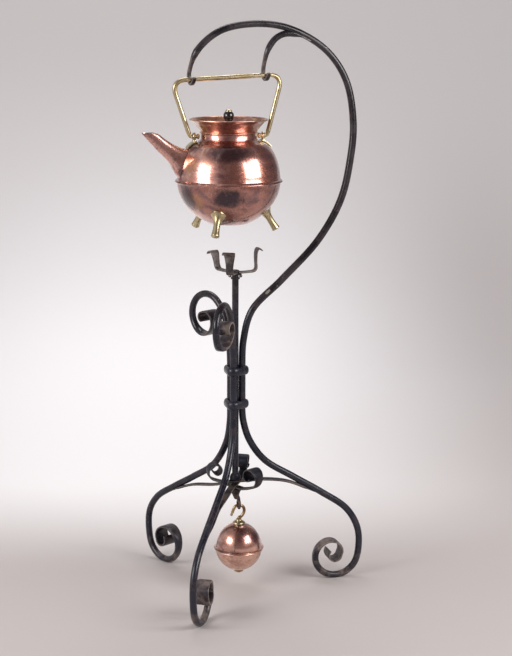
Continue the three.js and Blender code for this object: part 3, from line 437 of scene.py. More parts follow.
def oldCopper(name, offset, tones, tarnish, polish, stainsAndShade=(), spots=0.5, hazy=0.14, golden=()):
    # polished copper under a cloudy tarnish: tones are fresh, brown, mauve and nearly black; the dark places
    # are
    # [place, radius, softness, stretch, depth] in millimetres, some real stains and some painted shade and
    # dark reflections
    look = Look(name)
    fresh, brown, mauve, black = tones
    broad = look.cloud(11, 3, 0.55, offset=offset, distortion=0.8)
    patches = look.cloud(34, 6, 0.66, offset=offset, distortion=1.2)
    specks = look.cloud(190, 5, 0.72, offset=offset)
    wiped = look.cloud(26, 4, 0.6, stretch=(1, 1, 4), offset=offset)
    cover = broad * 0.5 + patches * 0.3 + specks * 0.2
    base = look.mix(cover.grade(0.6 - 0.25 * tarnish, 0.7 - 0.25 * tarnish), fresh, brown)
    base = look.mix((patches * 0.5 + wiped * 0.25 + specks * 0.25).grade(0.46, 0.62), base, mauve)
    gold = look.cloud(22, 4, 0.6, offset=(0.4, 0.8, 0.1)) * 0.7 + specks * 0.3
    gold = gold.grade(0.57, 0.66, 0, spots)
    for place, radius, soft in golden:
        spot = look.near(place, radius, soft) + (specks - 0.5) * 1.6 + (patches - 0.5)
        gold = gold.atLeast(spot.grade(0.35, 1, 0, 0.55))
    base = look.mix(gold, base, (214, 150, 92))
    dark = (broad * 0.5 + wiped * 0.3 + patches * 0.2).grade(0.52, 0.72, 0, 0.5)
    # each dark place darkens the colour round it; the kettle's and ball's include painted shade and dark
    # reflections as well as stains
    for place, radius, soft, stretch, depth in stainsAndShade:
        darkPatch = look.near(place, radius, soft, stretch) + (patches - 0.5) * 0.6 + (specks - 0.5) * 0.8
        dark = dark.atLeast(darkPatch.grade(0.15, 0.95, 0, depth))
    base = look.mix(specks.grade(0.56, 0.7, 0, 0.4), base, mauve)
    base = look.mix(dark, base, black)
    rough = (patches * 0.4 + broad * 0.2 + specks * 0.4).grade(0.4, 0.6, polish, polish + hazy)
    skin = look.bump(look.cloud(20, 2, 0.4), 0.1, 0.0015)
    scratches = look.cloud(60, 3, 0.6, stretch=(1, 1, 16))
    return look.set(Base_Color=base, Metallic=1.0, Roughness=rough, Coat_Weight=1 - dark * 0.4,
                    Coat_Roughness=0.1, Coat_IOR=1.8,
                    Normal=look.bump(scratches + specks * 0.4, 0.04, 0.0003, skin))


def oldBrass(name, light, dark):
    # worn satin brass, browner in patches
    look = Look(name)
    edge = look.mark("edge")
    patches = look.cloud(60, 5, 0.6)
    fine = look.cloud(330, 4, 0.6)
    base = look.mix(patches.grade(0.38, 0.7), light, dark)
    base = look.mix(fine.grade(0.55, 0.75, 0, 0.3), base, (112, 96, 64))
    base = look.mix((edge * 0.7).atMost(0.5), base, (226, 212, 170))
    rough = patches.grade(0.3, 0.7, 0.24, 0.36)
    return look.set(Base_Color=base, Metallic=1.0, Roughness=rough,
                    Normal=look.bump(look.cloud(90, 2, 0.5) + fine * 0.08, 0.018, 0.0004))


def blackWood():
    look = Look("blackWood")
    grain = look.cloud(160, 5, 0.6, stretch=(1, 1, 0.15))
    base = look.mix(grain.grade(0.4, 0.7), (13, 12, 13), (34, 27, 25))
    return look.set(Base_Color=base, Roughness=grain.grade(0.3, 0.7, 0.08, 0.2), Coat_Weight=0.6,
                    Coat_Roughness=0.06, Normal=look.bump(grain, 0.06, 0.0003))


kettleTones = (242, 188, 172), (190, 125, 106), (134, 89, 90), (50, 25, 38)
# dark places on the kettle: the first, low on the camera's side below the seam, is a painted dark reflection,
# and the second, under the neck on that side, is painted shade; the two low at the left and right are dark
# patches, and the three round the back are stains
kettleStainsAndShade = (
    ((-29, -70, 604), 6, 34, (1, 1, 1.5), 1), ((-20, -58, 668), 5, 32, (0.7, 1, 1.4), 0.85),
    ((-77, -24, 602), 5, 24, (1, 1, 0.7), 0.9), ((62, -26, 612), 2, 16, (1, 1, 0.6), 0.5),
    ((50, 30, 610), 10, 26, (1, 1, 1), 0.85), ((-60, 52, 650), 10, 26, (1, 1, 1.3), 0.8),
    ((30, 60, 590), 8, 24, (1, 1, 1), 0.85))
kettleGold = ((-76, -44, 594), 12, 14), ((-80, -32, 652), 8, 16), ((-62, -52, 574), 8, 14)
spoutTones = (228, 172, 158), (176, 120, 108), (136, 92, 92), (70, 46, 54)
# a dark patch low on the spout near its root
spoutDarkPatch = (((-84, -16, 638), 2, 9, (1, 1, 1), 0.7),)
neckTones = (238, 186, 150), (186, 124, 98), (132, 80, 74), (66, 36, 40)
ballTones = (234, 178, 158), (172, 115, 98), (122, 80, 80), (58, 35, 42)
# a painted dark reflection high on the ball's camera side, between its highlights
ballDarkReflection = (((8, -20, 92), 2, 14, (1, 1, 1), 0.4),)
ballFootTones = (236, 188, 166), (218, 164, 142), (188, 134, 116), (130, 90, 80)
# each look with the record's material that it belongs to
looks = {
    "paint": ("black_iron", blackPaint()),
    "darkPaint": ("black_iron", blackPaint("darkPaint", 0.2)),
    "hookPaint": ("black_iron", blackPaint("wornPaint", 1.0, True)),
    "hub": ("bare_iron", wornIron("hubIron", (98, 84, 80), (42, 37, 42), 0.4, True)),
    "prong": ("bare_iron", wornIron("prongIron", (118, 109, 106), (60, 54, 55), 0.38)),
    "body": ("copper", oldCopper("kettleCopper", (0.3, 0.1, 0.2), kettleTones, 0.75, 0.17, kettleStainsAndShade,
                                 hazy=0.2, golden=kettleGold)),
    "spout": ("copper", oldCopper("spoutCopper", (0.9, 0.4, 0.6), spoutTones, 0.65, 0.26, spoutDarkPatch,
                                  0.3, 0.08)),
    "neck": ("copper", oldCopper("neckCopper", (0.1, 0.6, 0.2), neckTones, 0.62, 0.27)),
    "ballTop": ("copper", oldCopper("ballTopCopper", (0.7, 0.2, 0.1), ballTones, 0.6, 0.2, ballDarkReflection)),
    "ballFoot": ("copper", oldCopper("ballFootCopper", (0.2, 0.9, 0.4), ballFootTones, 0.25, 0.3,
                                     spots=0.15)),
    "brass": ("brass", oldBrass("oldBrass", (214, 200, 162), (172, 154, 116))),
    # a darker, browner brass for the ball's hook: partly its own tarnish, partly painted shade
    "shadedHookBrass": ("brass", oldBrass("shadedHookBrass", (186, 158, 118), (128, 100, 74))),
    "wood": ("ebony", blackWood()),
}
print("looks made:", len(looks))


def finish(piece, look, body, node):
    usualSlot, material = looks[look]
    piece.data.materials.clear()
    piece.data.materials.append(material)
    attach(piece, body)
    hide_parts(node)


rods = Sizes(stem=10, rod=10.4, hookRod=10, branchRod=9.4, swell=0.5, upperCollar=340, lowerCollar=288.5,
             collarHeight=13, collarDepth=4.6, hub=163.7)
feet = Sizes(radius=40.7, reach=157.3, turn=580, over=360, shrink=0.75, power=1.35, flat=1,
             tail=Sizes(length=134, width=27, thickness=3.4, spread=1.25, power=6))
tops = Sizes(radius=34.5, reach=61, height=414, turn=570, over=400, shrink=0.79, power=2.4,
             tail=Sizes(length=122, width=24.5, thickness=3.4, spread=1.35, power=6))
hooks = Sizes(top=848.7, widest=180, mainX=-65, branchX=45.4, twist=14, lean=35, width=5.6, thickness=5,
              tail=Sizes(length=72, width=5.6, thickness=5, spread=2.4))
bar = Sizes(diameter=6.8, pin=5.4, height=773, kettleX=-10, slope=tan(radians(2.8)))
legs = {
    "right": Sizes(turn=0, drop=0, drift=0, layer=1, sag=0, curl=0, landing=104, reach=31, lean=0, prong=36),
    "left": Sizes(turn=120, drop=12, drift=0, layer=-1, sag=11, curl=6, landing=120, reach=38, lean=13,
                  prong=30),
    "front": Sizes(turn=-120, drop=9, drift=-0.035, layer=0, sag=9, curl=6, landing=120, reach=31, lean=0,
                   prong=35),
}
bundle = (rods.stem + rods.rod) / 2 + 0.3
roundRod = (rods.rod, rods.rod, 2)


def scrollPoints(centre, radius, start, roll, step):
    # a scroll that turns in towards its centre
    points = []
    steps = round(roll.turn / step)
    for i in range(steps + 1):
        wound = roll.turn * i / steps
        r = radius * (1 - roll.shrink * min(1, wound / roll.over) ** roll.power)
        angle = radians(start - wound)
        points.append((centre[0] + r * cos(angle), centre[1] + r * sin(angle)))
    return points


footCentre = (feet.reach, feet.radius * (1 - feet.shrink * 0.25 ** feet.power) + rods.rod / 2 - feet.flat)


def legPoints(drop):
    return [
        (bundle, rods.lowerCollar), (bundle, rods.lowerCollar - 9.1),
        (bundle + 2 - drop * 0.1, rods.lowerCollar - 28), (22 - drop * 0.3, 231 - drop * 0.3),
        (46, 198 - drop), (92, 168 - drop), (137, 140 - drop * 0.8), (178.6, 109.5 - drop / 2), (196.8, 76),
        *scrollPoints(footCentre, feet.radius, 0, feet, 30),
    ]


def drifted(points, drift):
    return [(p[0], p[1], max(0, p[0] - bundle) * drift) for p in points]


def cupPoints(x):
    # down behind the handle's bar, under it, and up and forward in front of it
    twist, lean = radians(hooks.twist), radians(hooks.lean)
    radius = bar.diameter / 2 + 0.5 + hooks.width / 2 * tan(twist) + hooks.thickness / 2
    bottom = bar.height + (x - bar.kettleX) * bar.slope - bar.diameter / 2 - 0.3 - hooks.thickness / 2
    forward = Vector((sin(twist), -cos(twist), 0))
    centre = Vector((x, 0, bottom + radius))
    points = [centre - forward * radius + up * 8]
    for i in range(7):
        angle = pi + (pi - lean) * i / 6
        points.append(centre + forward * (radius * cos(angle)) + up * (radius * sin(angle)))
    points.append(points[-1] + forward * (7 * sin(lean)) + up * (7 * cos(lean)))
    return points


def turnedToCup(low, high):
    twist = radians(hooks.twist)
    cupAcross = Vector((cos(twist), sin(twist), 0))
    return lambda share: back.lerp(cupAcross, ease(low, high, share))


top = hooks.top
crookLine = smoothLine(inPlane(legPoints(0)[::-1]) + inPlane([
    (bundle, rods.upperCollar), (bundle, rods.upperCollar + 9.1), (12.4, 385), (25.6, 430), (71.6, 474.6),
    (127.3, 531.8), (161.8, 590.7), (hooks.widest - 4, 650), (hooks.widest, 705), (hooks.widest - 12, 767),
    (136.5, 811), (81.6, top - 7), (30, top), (-22.7, top - 10), (-56.6, top - 38),
]) + cupPoints(hooks.mainX))
crookLength = lengthOf(crookLine)
crookShape = drawnOut(crookLine, roundRod, feet.tail, hooks.tail)


def crookTaper(run):
    # the rod thins above the branch and swells a little where it leaves the stem
    width, thickness, power = crookShape(run)
    share = run / crookLength
    thin = ease(0.6, 0.85, share) * max(0, min(width, thickness) - rods.hookRod)
    thin -= rods.swell * ease(0.45, 0.55, share) * ease(0.8, 0.7, share)
    return width - thin, thickness - thin, power


finish(forge("crook", crookLine, crookTaper, turnedToCup(0.93, 0.965), onFloor=True),
       "hookPaint", "stand", "crook_rod")

branchLine = smoothLine(inPlane([
    (112, top - 24.5), (98, top - 18), (84, top - 14), (71, top - 15), (60.5, top - 20.5), (53, top - 29),
    (47, top - 41)]) + cupPoints(hooks.branchX), 1.6)
branchScarf = Sizes(length=34, width=rods.branchRod, thickness=2.4, spread=1)
branchShape = drawnOut(branchLine, (rods.branchRod, rods.branchRod, 2), branchScarf, hooks.tail)
finish(forge("branch", branchLine, branchShape, turnedToCup(0.4, 0.7)), "hookPaint", "stand", "branch_hook")

for name in ("left", "front"):
    leg = legs[name]
    corners = legPoints(leg.drop)[::-1] + [
        (bundle, rods.upperCollar), (bundle, rods.upperCollar + 9.1), (12.6, 378), (20, 414),
        *scrollPoints((tops.reach, tops.height), tops.radius, 140, tops, 30),
    ]
    line = smoothLine(inPlane(drifted(corners, leg.drift)))
    shape = drawnOut(line, roundRod, feet.tail, tops.tail)
    finish(forge(name + "Rod", line, shape, turn=leg.turn, onFloor=True),
           "darkPaint" if name == "left" else "paint", "stand", name + "_rod")
print("rods forged")


def collar(name, height):
    # a half-round band round the three rods
    rings = []
    for rod in range(3):
        middle = radians(rod * 120)
        foot = Vector((bundle * cos(middle), bundle * sin(middle), height))
        for i in range(13):
            angle = middle - pi / 3 + 2 * pi / 3 * i / 12
            out = Vector((cos(angle), sin(angle), 0))
            ring = []
            for k in range(15):
                lean = pi * (k / 14 - 0.5)
                depth = rods.rod / 2 + 0.3 + rods.collarDepth * abs(cos(lean)) ** 0.8
                ring.append(foot + out * depth + up * (sin(lean) * rods.collarHeight / 2))
            rings.append(ring)
    return tidyMesh(loft(name, rings, closed=True), 50)


finish(collar("upperBand", rods.upperCollar), "paint", "stand", "upper_collar")
finish(collar("lowerBand", rods.lowerCollar), "paint", "stand", "lower_collar")

trivet = Sizes(height=488, thickness=3, base=11, top=19, lip=8.5, elbow=3)
brace = Sizes(width=10, thickness=4, radius=15.5, reach=30.5, lift=19.5, turn=420, over=420, shrink=0.72,
              power=0.75, fishtail=23, tip=1.6)
hubTop = rods.hub + 1.5 * brace.thickness + 0.6
hubFoot = rods.hub - 1.5 * brace.thickness - 0.6
seat = trivet.height - trivet.thickness / 2 - 0.3

stem = rods.stem / 2
finish(turned("stemRod", [
    (0, hubTop), (stem - 0.3, hubTop), (stem, hubTop + 0.3), (stem, 300), (stem - 0.1, 360),
    (stem - 0.2, 420), (stem, 470), (stem, seat), (0, seat)], steps=40), "paint", "stand", "stem")

# four small volutes and a plate carry the prongs
volute = Sizes(turn=430, over=430, shrink=0.72, power=1)
voluteLine = smoothLine(inPlane([
    (stem + 1, seat - 8), (stem + 1.1, seat - 5.2), (stem + 1.7, seat - 2.9),
    *scrollPoints((stem + 3.1, seat - 3.6), 2.1, 150, volute, 30)]), 0.5)
volutes = [forge("volute", voluteLine, steady((4.6, 1.3, 4)), sides=12, turn=-14.5 + 90 * k, bevel=0.2)
           for k in range(4)]
plate = turned("capitalPlate", [(stem + 0.3, seat - 1.6), (8.6, seat - 1.6), (9.4, seat - 0.9), (9.2, seat),
                                (stem + 0.3, seat)], steps=48)
band = turned("capitalBand", [(stem + 0.3, seat - 8), (stem + 1.6, seat - 7.6), (stem + 1.8, seat - 6.6),
                              (stem + 1.2, seat - 6), (stem + 0.3, seat - 5.8)], steps=48)
finish(joined("capital", [plate, band, *volutes]), "hub", "stand", "stem_capital")

prongInner = trivet.base / 2 / tan(pi / 3) + 0.3
for name, leg in legs.items():
    head = trivet.height + leg.prong
    lean = radians(leg.lean)
    lip = trivet.lip
    upper = []
    for r, z in ((0, trivet.height + leg.prong * 0.5), (lip * 0.05, head - leg.prong * 0.2),
                 (lip * 0.28, head - 2), (lip * 0.62, head - 1.3), (lip, head - 4)):
        rise = z - trivet.height - trivet.elbow
        upper.append((leg.reach + r * cos(lean) + rise * sin(lean),
                      trivet.height + trivet.elbow + rise * cos(lean) - r * sin(lean)))
    line = smoothLine(inPlane([
        (prongInner, trivet.height), (leg.reach * 0.6, trivet.height + 0.4),
        (leg.reach - trivet.elbow, trivet.height + 1.6), (leg.reach, trivet.height + 1.6 + trivet.elbow),
        *upper]), 1.2)

    def prongShape(run, length=lengthOf(line), start=leg.reach + trivet.elbow):
        share = ease(start, length, run)
        return between(trivet.base, trivet.top, share), between(trivet.thickness, 1.9, share), 6

    finish(forge("prong." + name, line, prongShape, sides=24, turn=leg.turn, bevel=0.35),
           "prong", "stand", "trivet_prong_" + name)

rivetTop = trivet.height + trivet.thickness / 2 + 0.3
headRadius = prongInner + 3
finish(turned("rivet", [
    (0, rivetTop - 6), (2.5, rivetTop - 6), (2.5, rivetTop), (headRadius, rivetTop),
    (headRadius * 0.96, rivetTop + 0.8), (headRadius * 0.8, rivetTop + 1.8),
    (headRadius * 0.45, rivetTop + 2.4), (0, rivetTop + 2.6)], steps=40, bevel=0.2),
    "prong", "stand", "trivet_rivet")

for name, leg in legs.items():
    legLine = smoothLine(inPlane(legPoints(leg.drop)), 0.5)

    def heightAt(radius):
        return next(p.z for p in legLine if p.x >= radius)

    def landing(radius, depth):
        # a place under the leg
        ahead = Vector((2, heightAt(radius + 1) - heightAt(radius - 1))).normalized()
        return radius + ahead.y * depth, heightAt(radius) - ahead.x * depth

    height = rods.hub + leg.layer * (brace.thickness + 0.3)
    under = rods.rod / 2 + brace.thickness / 2 + 0.3
    end, sag, curl = leg.landing, leg.sag, leg.curl
    centre = (-brace.reach - curl, height + brace.lift + curl * 0.7)
    line = smoothLine(inPlane(drifted([
        landing(end + 24, under - 3.2), landing(end + 10, under - 1.6), landing(end - 2, under - 0.4),
        (end * 0.75, height - 5 - sag), (end * 0.42, height - 0.7 * sag), (20, height), (10, height),
        (0, height), (-8, height), (-16, height),
        *scrollPoints(centre, brace.radius + curl * 0.4, 270, brace, 28),
    ], leg.drift)), 1.5)
    start = Sizes(length=26, width=brace.width * 0.8, thickness=brace.tip, spread=1)
    fishtail = Sizes(length=84, width=brace.fishtail, thickness=2.6, spread=1.4)
    shape = drawnOut(line, (brace.width, brace.thickness, 4), start, fishtail)
    finish(forge("brace." + name, line, shape, sides=24, turn=leg.turn, bevel=0.4),
           "hub", "stand", "brace_" + name)

dome = hubTop + 0.3
finish(turned("dome", [
    (5.3, dome), (8.2, dome), (8.7, dome + 1.4), (8.5, dome + 3.4), (7.8, dome + 6), (6.6, dome + 8.4),
    (5.3, dome + 9.8)], steps=48, bevel=0.3), "hub", "stand", "hub_dome")

eye = Sizes(shift=5.5, height=131, radius=6, wire=4, width=19)
knop = hubFoot - 0.3
neckTop = eye.height + eye.radius
rings = []
for shift, z, r in (
        (0, knop, eye.width / 2 - 0.6), (0, knop - 0.5, eye.width / 2), (0, knop - 2.8, eye.width / 2 - 0.1),
        (0, knop - 3.6, eye.width / 2 - 1.2), (0.04, knop - 6, 7.2), (0.1, knop - 9, 5.6),
        (0.25, knop - 13, 4.6), (0.45, knop - 17, 3.8), (0.7, (knop + neckTop) / 2 - 4, 3.2),
        (0.95, neckTop + 1, 2.8), (1, neckTop - 0.8, 2)):
    rings.append(section(Vector((eye.shift * shift, 0, z)), up, back, 2 * r, 2 * r, 2, 36)[0])
finialBody = tidyMesh(loft("finialBody", rings), 40)
eyeRings = []
for k in range(48):
    angle = 2 * pi * k / 48
    out = Vector((0, cos(angle), sin(angle)))
    wire = eye.wire + 0.5 * ease(0.6, 1, out.z)
    centre = Vector((eye.shift, 0, eye.height)) + out * eye.radius
    around = Vector((0, -sin(angle), cos(angle)))
    eyeRings.append(section(centre, around, Vector((1, 0, 0)), wire, wire, 2, 16)[0])
eyeRing = tidyMesh(loft("eyeRing", eyeRings, closed=True), 60)
finish(joined("finial", [finialBody, eyeRing]), "hub", "stand", "hub_finial")
print("stand done")

ball = Sizes(x=5.5, radius=35.3, crown=4.2, height=62.6, seam=38.2, wall=1.2, wire=4.6, loop=8.6)
ballBase = (ball.x, 0, 0)


def ballHalf(name, side):
    outer = []
    tall = ball.radius + (ball.crown if side > 0 else 0)
    for i in range(29):
        angle = between(asin(2.3 / ball.radius), pi / 2 - 0.05, i / 28)
        outer.append((ball.radius * sin(angle), ball.height + side * tall * cos(angle)))
    scale = 1 - ball.wall / ball.radius
    face = ball.height + side * 0.15
    wall = [(max(2.3, r * scale), ball.height + (z - ball.height) * scale) for r, z in outer[:-1]]
    seam = ball.seam if side > 0 else ball.seam - 0.8
    lip = 1.7 if side > 0 else 2
    bead = [(seam - 1.5 + 1.5 * cos(a), face + side * (lip * 0.5 + lip * 0.5 * sin(a)))
            for a in (1.4, 0.9, 0.45, 0, -0.45, -0.9, -1.3)]
    return turned(name, [
        *outer[:-1], (ball.radius + 0.2, ball.height + side * (lip + 0.6)), *bead,
        (ball.radius - ball.wall, face), *wall[::-1]], ballBase, steps=112)


finish(ballHalf("ballTop", 1), "ballTop", "ball", "ball_upper_half")
finish(ballHalf("ballFoot", -1), "ballFoot", "ball", "ball_lower_half")

capTop = ball.height + ball.radius + 10.5
cap = ball.height + (ball.radius + ball.crown) * cos(asin(9.4 / ball.radius))
hookTop = eye.height - eye.radius + eye.wire / 2 + 0.3 + ball.wire / 2
z, r = hookTop - ball.loop, ball.loop
hookLine = smoothLine([Vector((x + ball.x, 0, height)) for x, height in (
    (-1.38 * r, z - 0.85 * r), (-1.05 * r, z), (-0.72 * r, z + 0.69 * r), (0, z + r),
    (0.72 * r, z + 0.69 * r), (r, z), (0.84 * r, z - 0.62 * r), (0.42 * r, z - 1.15 * r),
    (0.04 * r, capTop + 1.5), (0, capTop - 1), (0, capTop - 6))], 0.8)
hookTip = Sizes(length=9, width=3.6, thickness=3.4, spread=1)
hookWire = drawnOut(hookLine, (ball.wire, ball.wire, 2), hookTip)
finish(forge("ballHook", hookLine, hookWire, bevel=0.7), "shadedHookBrass", "ball", "ball_hook")


def onBall(r, crown=0):
    return ball.height + sqrt(ball.radius ** 2 - r ** 2) * (1 + crown / ball.radius) + 0.3


finish(turned("ballCap", [
    *[(r, onBall(r, ball.crown)) for r in (2.6, 6.2, 9.2)], (9.7, cap + 0.7), (9.6, cap + 1.5),
    (9, cap + 2.3), (7.9, cap + 3.3), (6.4, cap + 4.2), (5, cap + 4.8), (4.4, cap + 5.4), (4.2, capTop - 1.6),
    (4, capTop - 0.6), (3.6, capTop - 0.2), (2.6, capTop)], ballBase, steps=64), "brass", "ball", "ball_cap")

nut = ball.height - ball.radius - 3.6
finish(turned("ballNut", [
    (0, nut), (5.6, nut), (6.6, nut + 0.5), (7.2, nut + 1.3), (7.1, nut + 2), (6, nut + 2.5),
    *[(r, 2 * ball.height - onBall(r)) for r in (5.2, 2.3)], (0, nut + 3)], ballBase, steps=56),
    "brass", "ball", "ball_nut")
print("ball done")

kettle = Sizes(x=-10, seam=624.5, radius=75.5, belly=63, shoulder=57, wall=1.2, flange=78.7, base=30, neck=41,
               neckHeight=10, rim=57.2, rimHeight=714)
kettleBase = (kettle.x, 0, 0)
neckBase = kettle.seam + kettle.shoulder + 1
neckTop = neckBase + kettle.neckHeight
radius, wall, flange, neck = kettle.radius, kettle.wall, kettle.flange, kettle.neck


def upperLine(grow=0):
    side = bezier([
        (radius + grow, kettle.seam), (radius - 0.5 + grow, kettle.seam + 0.45 * kettle.shoulder),
        (radius * 0.875 + grow, neckBase - 12 + grow), (neck + 13, neckBase - 4 + grow)], 26)
    shoulder = bezier([(neck + 13, neckBase - 4 + grow), (neck + 1 + grow, neckBase + grow),
                       (neck + grow, neckBase + 3 + grow)], 9)
    return [*side, *shoulder[1:], (neck + grow, neckTop)]


def lowerLine(grow=0):
    line = [(0, kettle.seam - kettle.belly - grow)]
    start = asin(kettle.base / radius)
    for i in range(29):
        angle = between(start, pi / 2, i / 28)
        depth = (kettle.belly + grow) * cos(angle) * (1 + 0.08 * (1 - i / 28))
        line.append(((radius + grow) * sin(angle), kettle.seam - min(depth, kettle.belly + grow)))
    return line


def setBack(outer):
    # the same outline on the sheet's inner side, from its end to its start
    inner = []
    for i, (r, z) in enumerate(outer):
        (r0, z0), (r1, z1) = outer[max(i - 1, 0)], outer[min(i + 1, len(outer) - 1)]
        length = hypot(r1 - r0, z1 - z0)
        inner.append((r - (z1 - z0) / length * wall, z + (r1 - r0) / length * wall))
    return inner[::-1]


def bodyTool(grow):
    return turned("bodyTool", [*lowerLine(grow), *upperLine(grow)[1:], (0, neckTop)], kettleBase, steps=128)


spout = Sizes(rounding=10, power=3)
# the spout's stations: place along X and Z, the way it points, its height and width
spoutStations = [
    (-61.5, 645.5, -1, 0.2, 56, 36), (-72, 648.3, -0.95, 0.32, 51, 33), (-80.3, 653, -0.89, 0.45, 42, 29),
    (-87, 659.3, -0.84, 0.54, 31, 25.5), (-93.3, 664.7, -0.8, 0.6, 26, 22.5),
    (-100.3, 669.8, -0.78, 0.62, 23.2, 20), (-108.1, 676, -0.73, 0.69, 21, 18),
    (-115.8, 683.2, -0.65, 0.76, 19, 16.3), (-122.8, 690.2, -0.35, 0.92, 19, 15.2),
    (-129, 695.2, 0, 1, 20.3, 14.5)]
boreEnd = (-130.5, 699, 0, 1, 20.3, 14.5)


def spoutLoft(name, inset, extra=()):
    # the spout's rings lie along a gentle line and turn level at the mouth
    stations = [Vector((*station,)) for station in (*spoutStations, *extra)]
    rings = []
    for before, after in zip(stations, stations[1:]):
        rings += [before.lerp(after, i / 8) for i in range(8)]
    rings.append(stations[-1])
    for _ in range(spout.rounding):
        middle = [(a + 2 * b + c) / 4 for a, b, c in zip(rings, rings[1:], rings[2:])]
        rings = [rings[0], *middle, rings[-1]]
    sections = [
        section(Vector((x, 0, z)), Vector((dx, 0, dz)).normalized(), back, width - 2 * inset,
                height - 2 * inset, spout.power, 40)[0] for x, z, dx, dz, height, width in rings]
    return tidyMesh(loft(name, sections), 50, 1e-7)


upperOuter = upperLine()
face = kettle.seam + 0.15
upperShell = turned("shoulder", [
    (flange - 1.1, face), (flange - 0.9, face + 0.7), (flange - 1.4, face + 1.3), (radius + 1.2, face + 1.5),
    (radius + 0.3, face + 2.4), *upperOuter[2:], *setBack(upperOuter)[:-1], (radius - wall, face)],
    kettleBase, steps=128)
carve(upperShell, spoutLoft("bore", wall, [boreEnd]))
finish(tidyMesh(upperShell, 32), "body", "kettle", "kettle_upper_shell")

lowerOuter = lowerLine()
face = kettle.seam - 0.15
finish(turned("bowl", [
    *lowerOuter[:-2], (radius - 0.1, face - 3.2), (radius + 0.6, face - 2.3), (flange - 1.2, face - 1.9),
    (flange - 0.3, face - 1.4), (flange, face - 0.8), (flange - 0.3, face - 0.1), (flange - 0.9, face),
    (radius - wall, face), *setBack(lowerOuter)[1:-1], (0, lowerOuter[0][1] + wall)], kettleBase, steps=128),
    "body", "kettle", "kettle_lower_shell")

cone = neckTop + 2.9
slope = (kettle.rim - neck) / (kettle.rimHeight - cone)
coneWall = wall * sqrt(1 + slope ** 2)


def coneRadius(z):
    return neck + (z - cone) * slope


rimRoll = [(kettle.rim - 0.9 + 1.5 * cos(a), kettle.rimHeight - 1.15 + 1.15 * sin(a))
           for a in (-1.1, -0.6, -0.1, 0.4, 0.9, 1.4, 2.0, 2.6)]
neckBead = [(neck + 0.1 + 1.5 * cos(a), neckTop + 1.6 + 1.2 * sin(a))
            for a in (-1.3, -0.9, -0.45, 0, 0.45, 0.9, 1.3)]
flare = [(coneRadius(z) - 0.6 * sin(pi * (z - cone) / (kettle.rimHeight - cone)), z)
         for z in (cone + 2 * i for i in range(1, 8))]
finish(turned("funnel", [
    (neck - wall, neckTop + 0.3), *neckBead, (neck + 0.1, cone + 0.2), *flare, *rimRoll,
    (coneRadius(kettle.rimHeight - 3) - coneWall, kettle.rimHeight - 3), (neck - wall, cone)],
    kettleBase, steps=128), "neck", "kettle", "mouth_funnel")

spoutPiece = spoutLoft("spoutPiece", 0)
carve(spoutPiece, spoutLoft("bore", wall, [boreEnd]))
carve(spoutPiece, bodyTool(0.3))
finish(tidyMesh(spoutPiece, 40), "spout", "kettle", "spout")
print("kettle body done")

ears = Sizes(span=51.5, height=689, thickness=4, bore=3.2)
for name, side in (("left", -1), ("right", 1)):
    place = Vector((kettle.x + side * ears.span, 0, ears.height))
    boss = turned("boss", [(ears.bore, -2), (4.9, -2), (5.5, -1.4), (5.5, 1.4), (4.9, 2), (ears.bore, 2)],
                  place, (side, 0, 0), 48)
    legLine = smoothLine([place - up * 4.4, place - up * 9, place + Vector((side * 0.6, 0, -16))], 0.8)
    earLeg = forge("earLeg", legLine, lambda run: (between(8.6, 13, ease(0, 11, run)), 4, 5), bevel=0.4)
    strapLine = smoothLine([Vector((kettle.x + side * r, 0, z)) for r, z in upperLine(1.5)
                            if ears.span - 4.5 < r < ears.span + 12], 1)
    strap = forge("earStrap", strapLine, steady((15, 2.2, 8)), sides=28, bevel=0.3)
    # each is cut alone, because a cut through pieces that overlap can lose one of them
    for part in (earLeg, strap):
        carve(part, bodyTool(0.3))
    ear = joined("ear." + name, [boss, earLeg, strap])
    finish(tidyMesh(ear, 35), "brass", "kettle", "ear_" + name)

kettleFeet = Sizes(flange=11.2, waist=4.9, foot=6.1, topReach=54, bottomReach=72, bottom=551)
for name, leg in legs.items():
    f = kettleFeet
    foot = Vector((f.bottomReach, 0, f.bottom))
    head = Vector((f.topReach, 0, kettle.seam - kettle.belly * 0.72))
    length = (head - foot).length
    flare = [(between(f.waist, f.flange, max(0, (t - 0.5) / 0.5) ** 2.3), length * t)
             for t in (0.45 + 0.05 * i for i in range(12))]
    # the foot leans in its own plane, which turns about the kettle's axis
    turn = Matrix.Rotation(radians(leg.turn), 3, "Z")
    piece = turned("kettleFoot." + name, [
        (0, 0), (f.foot - 0.8, 0), (f.foot - 0.1, 0.3), (f.foot + 0.1, 1.1), (f.foot - 0.1, 2.2),
        (between(f.foot, f.waist, 0.5), length * 0.16), (f.waist, length * 0.34), *flare,
        (f.flange, length + 1.6), (f.flange - 0.4, length + 10), (0, length + 10)],
        turn @ foot + Vector(kettleBase), turn @ (head - foot), 64)
    carve(piece, bodyTool(0.3))
    finish(tidyMesh(piece, 35), "brass", "kettle", "kettle_foot_" + name)

bail = Sizes(left=85, right=81, bend=17, small=2.6)
armFoot = ears.span + ears.thickness / 2 + 0.5 + bar.diameter / 2 + 0.3
inner = ears.span - ears.thickness / 2 - 3.4


def barHeight(x):
    return bar.height + (x - bar.kettleX) * bar.slope


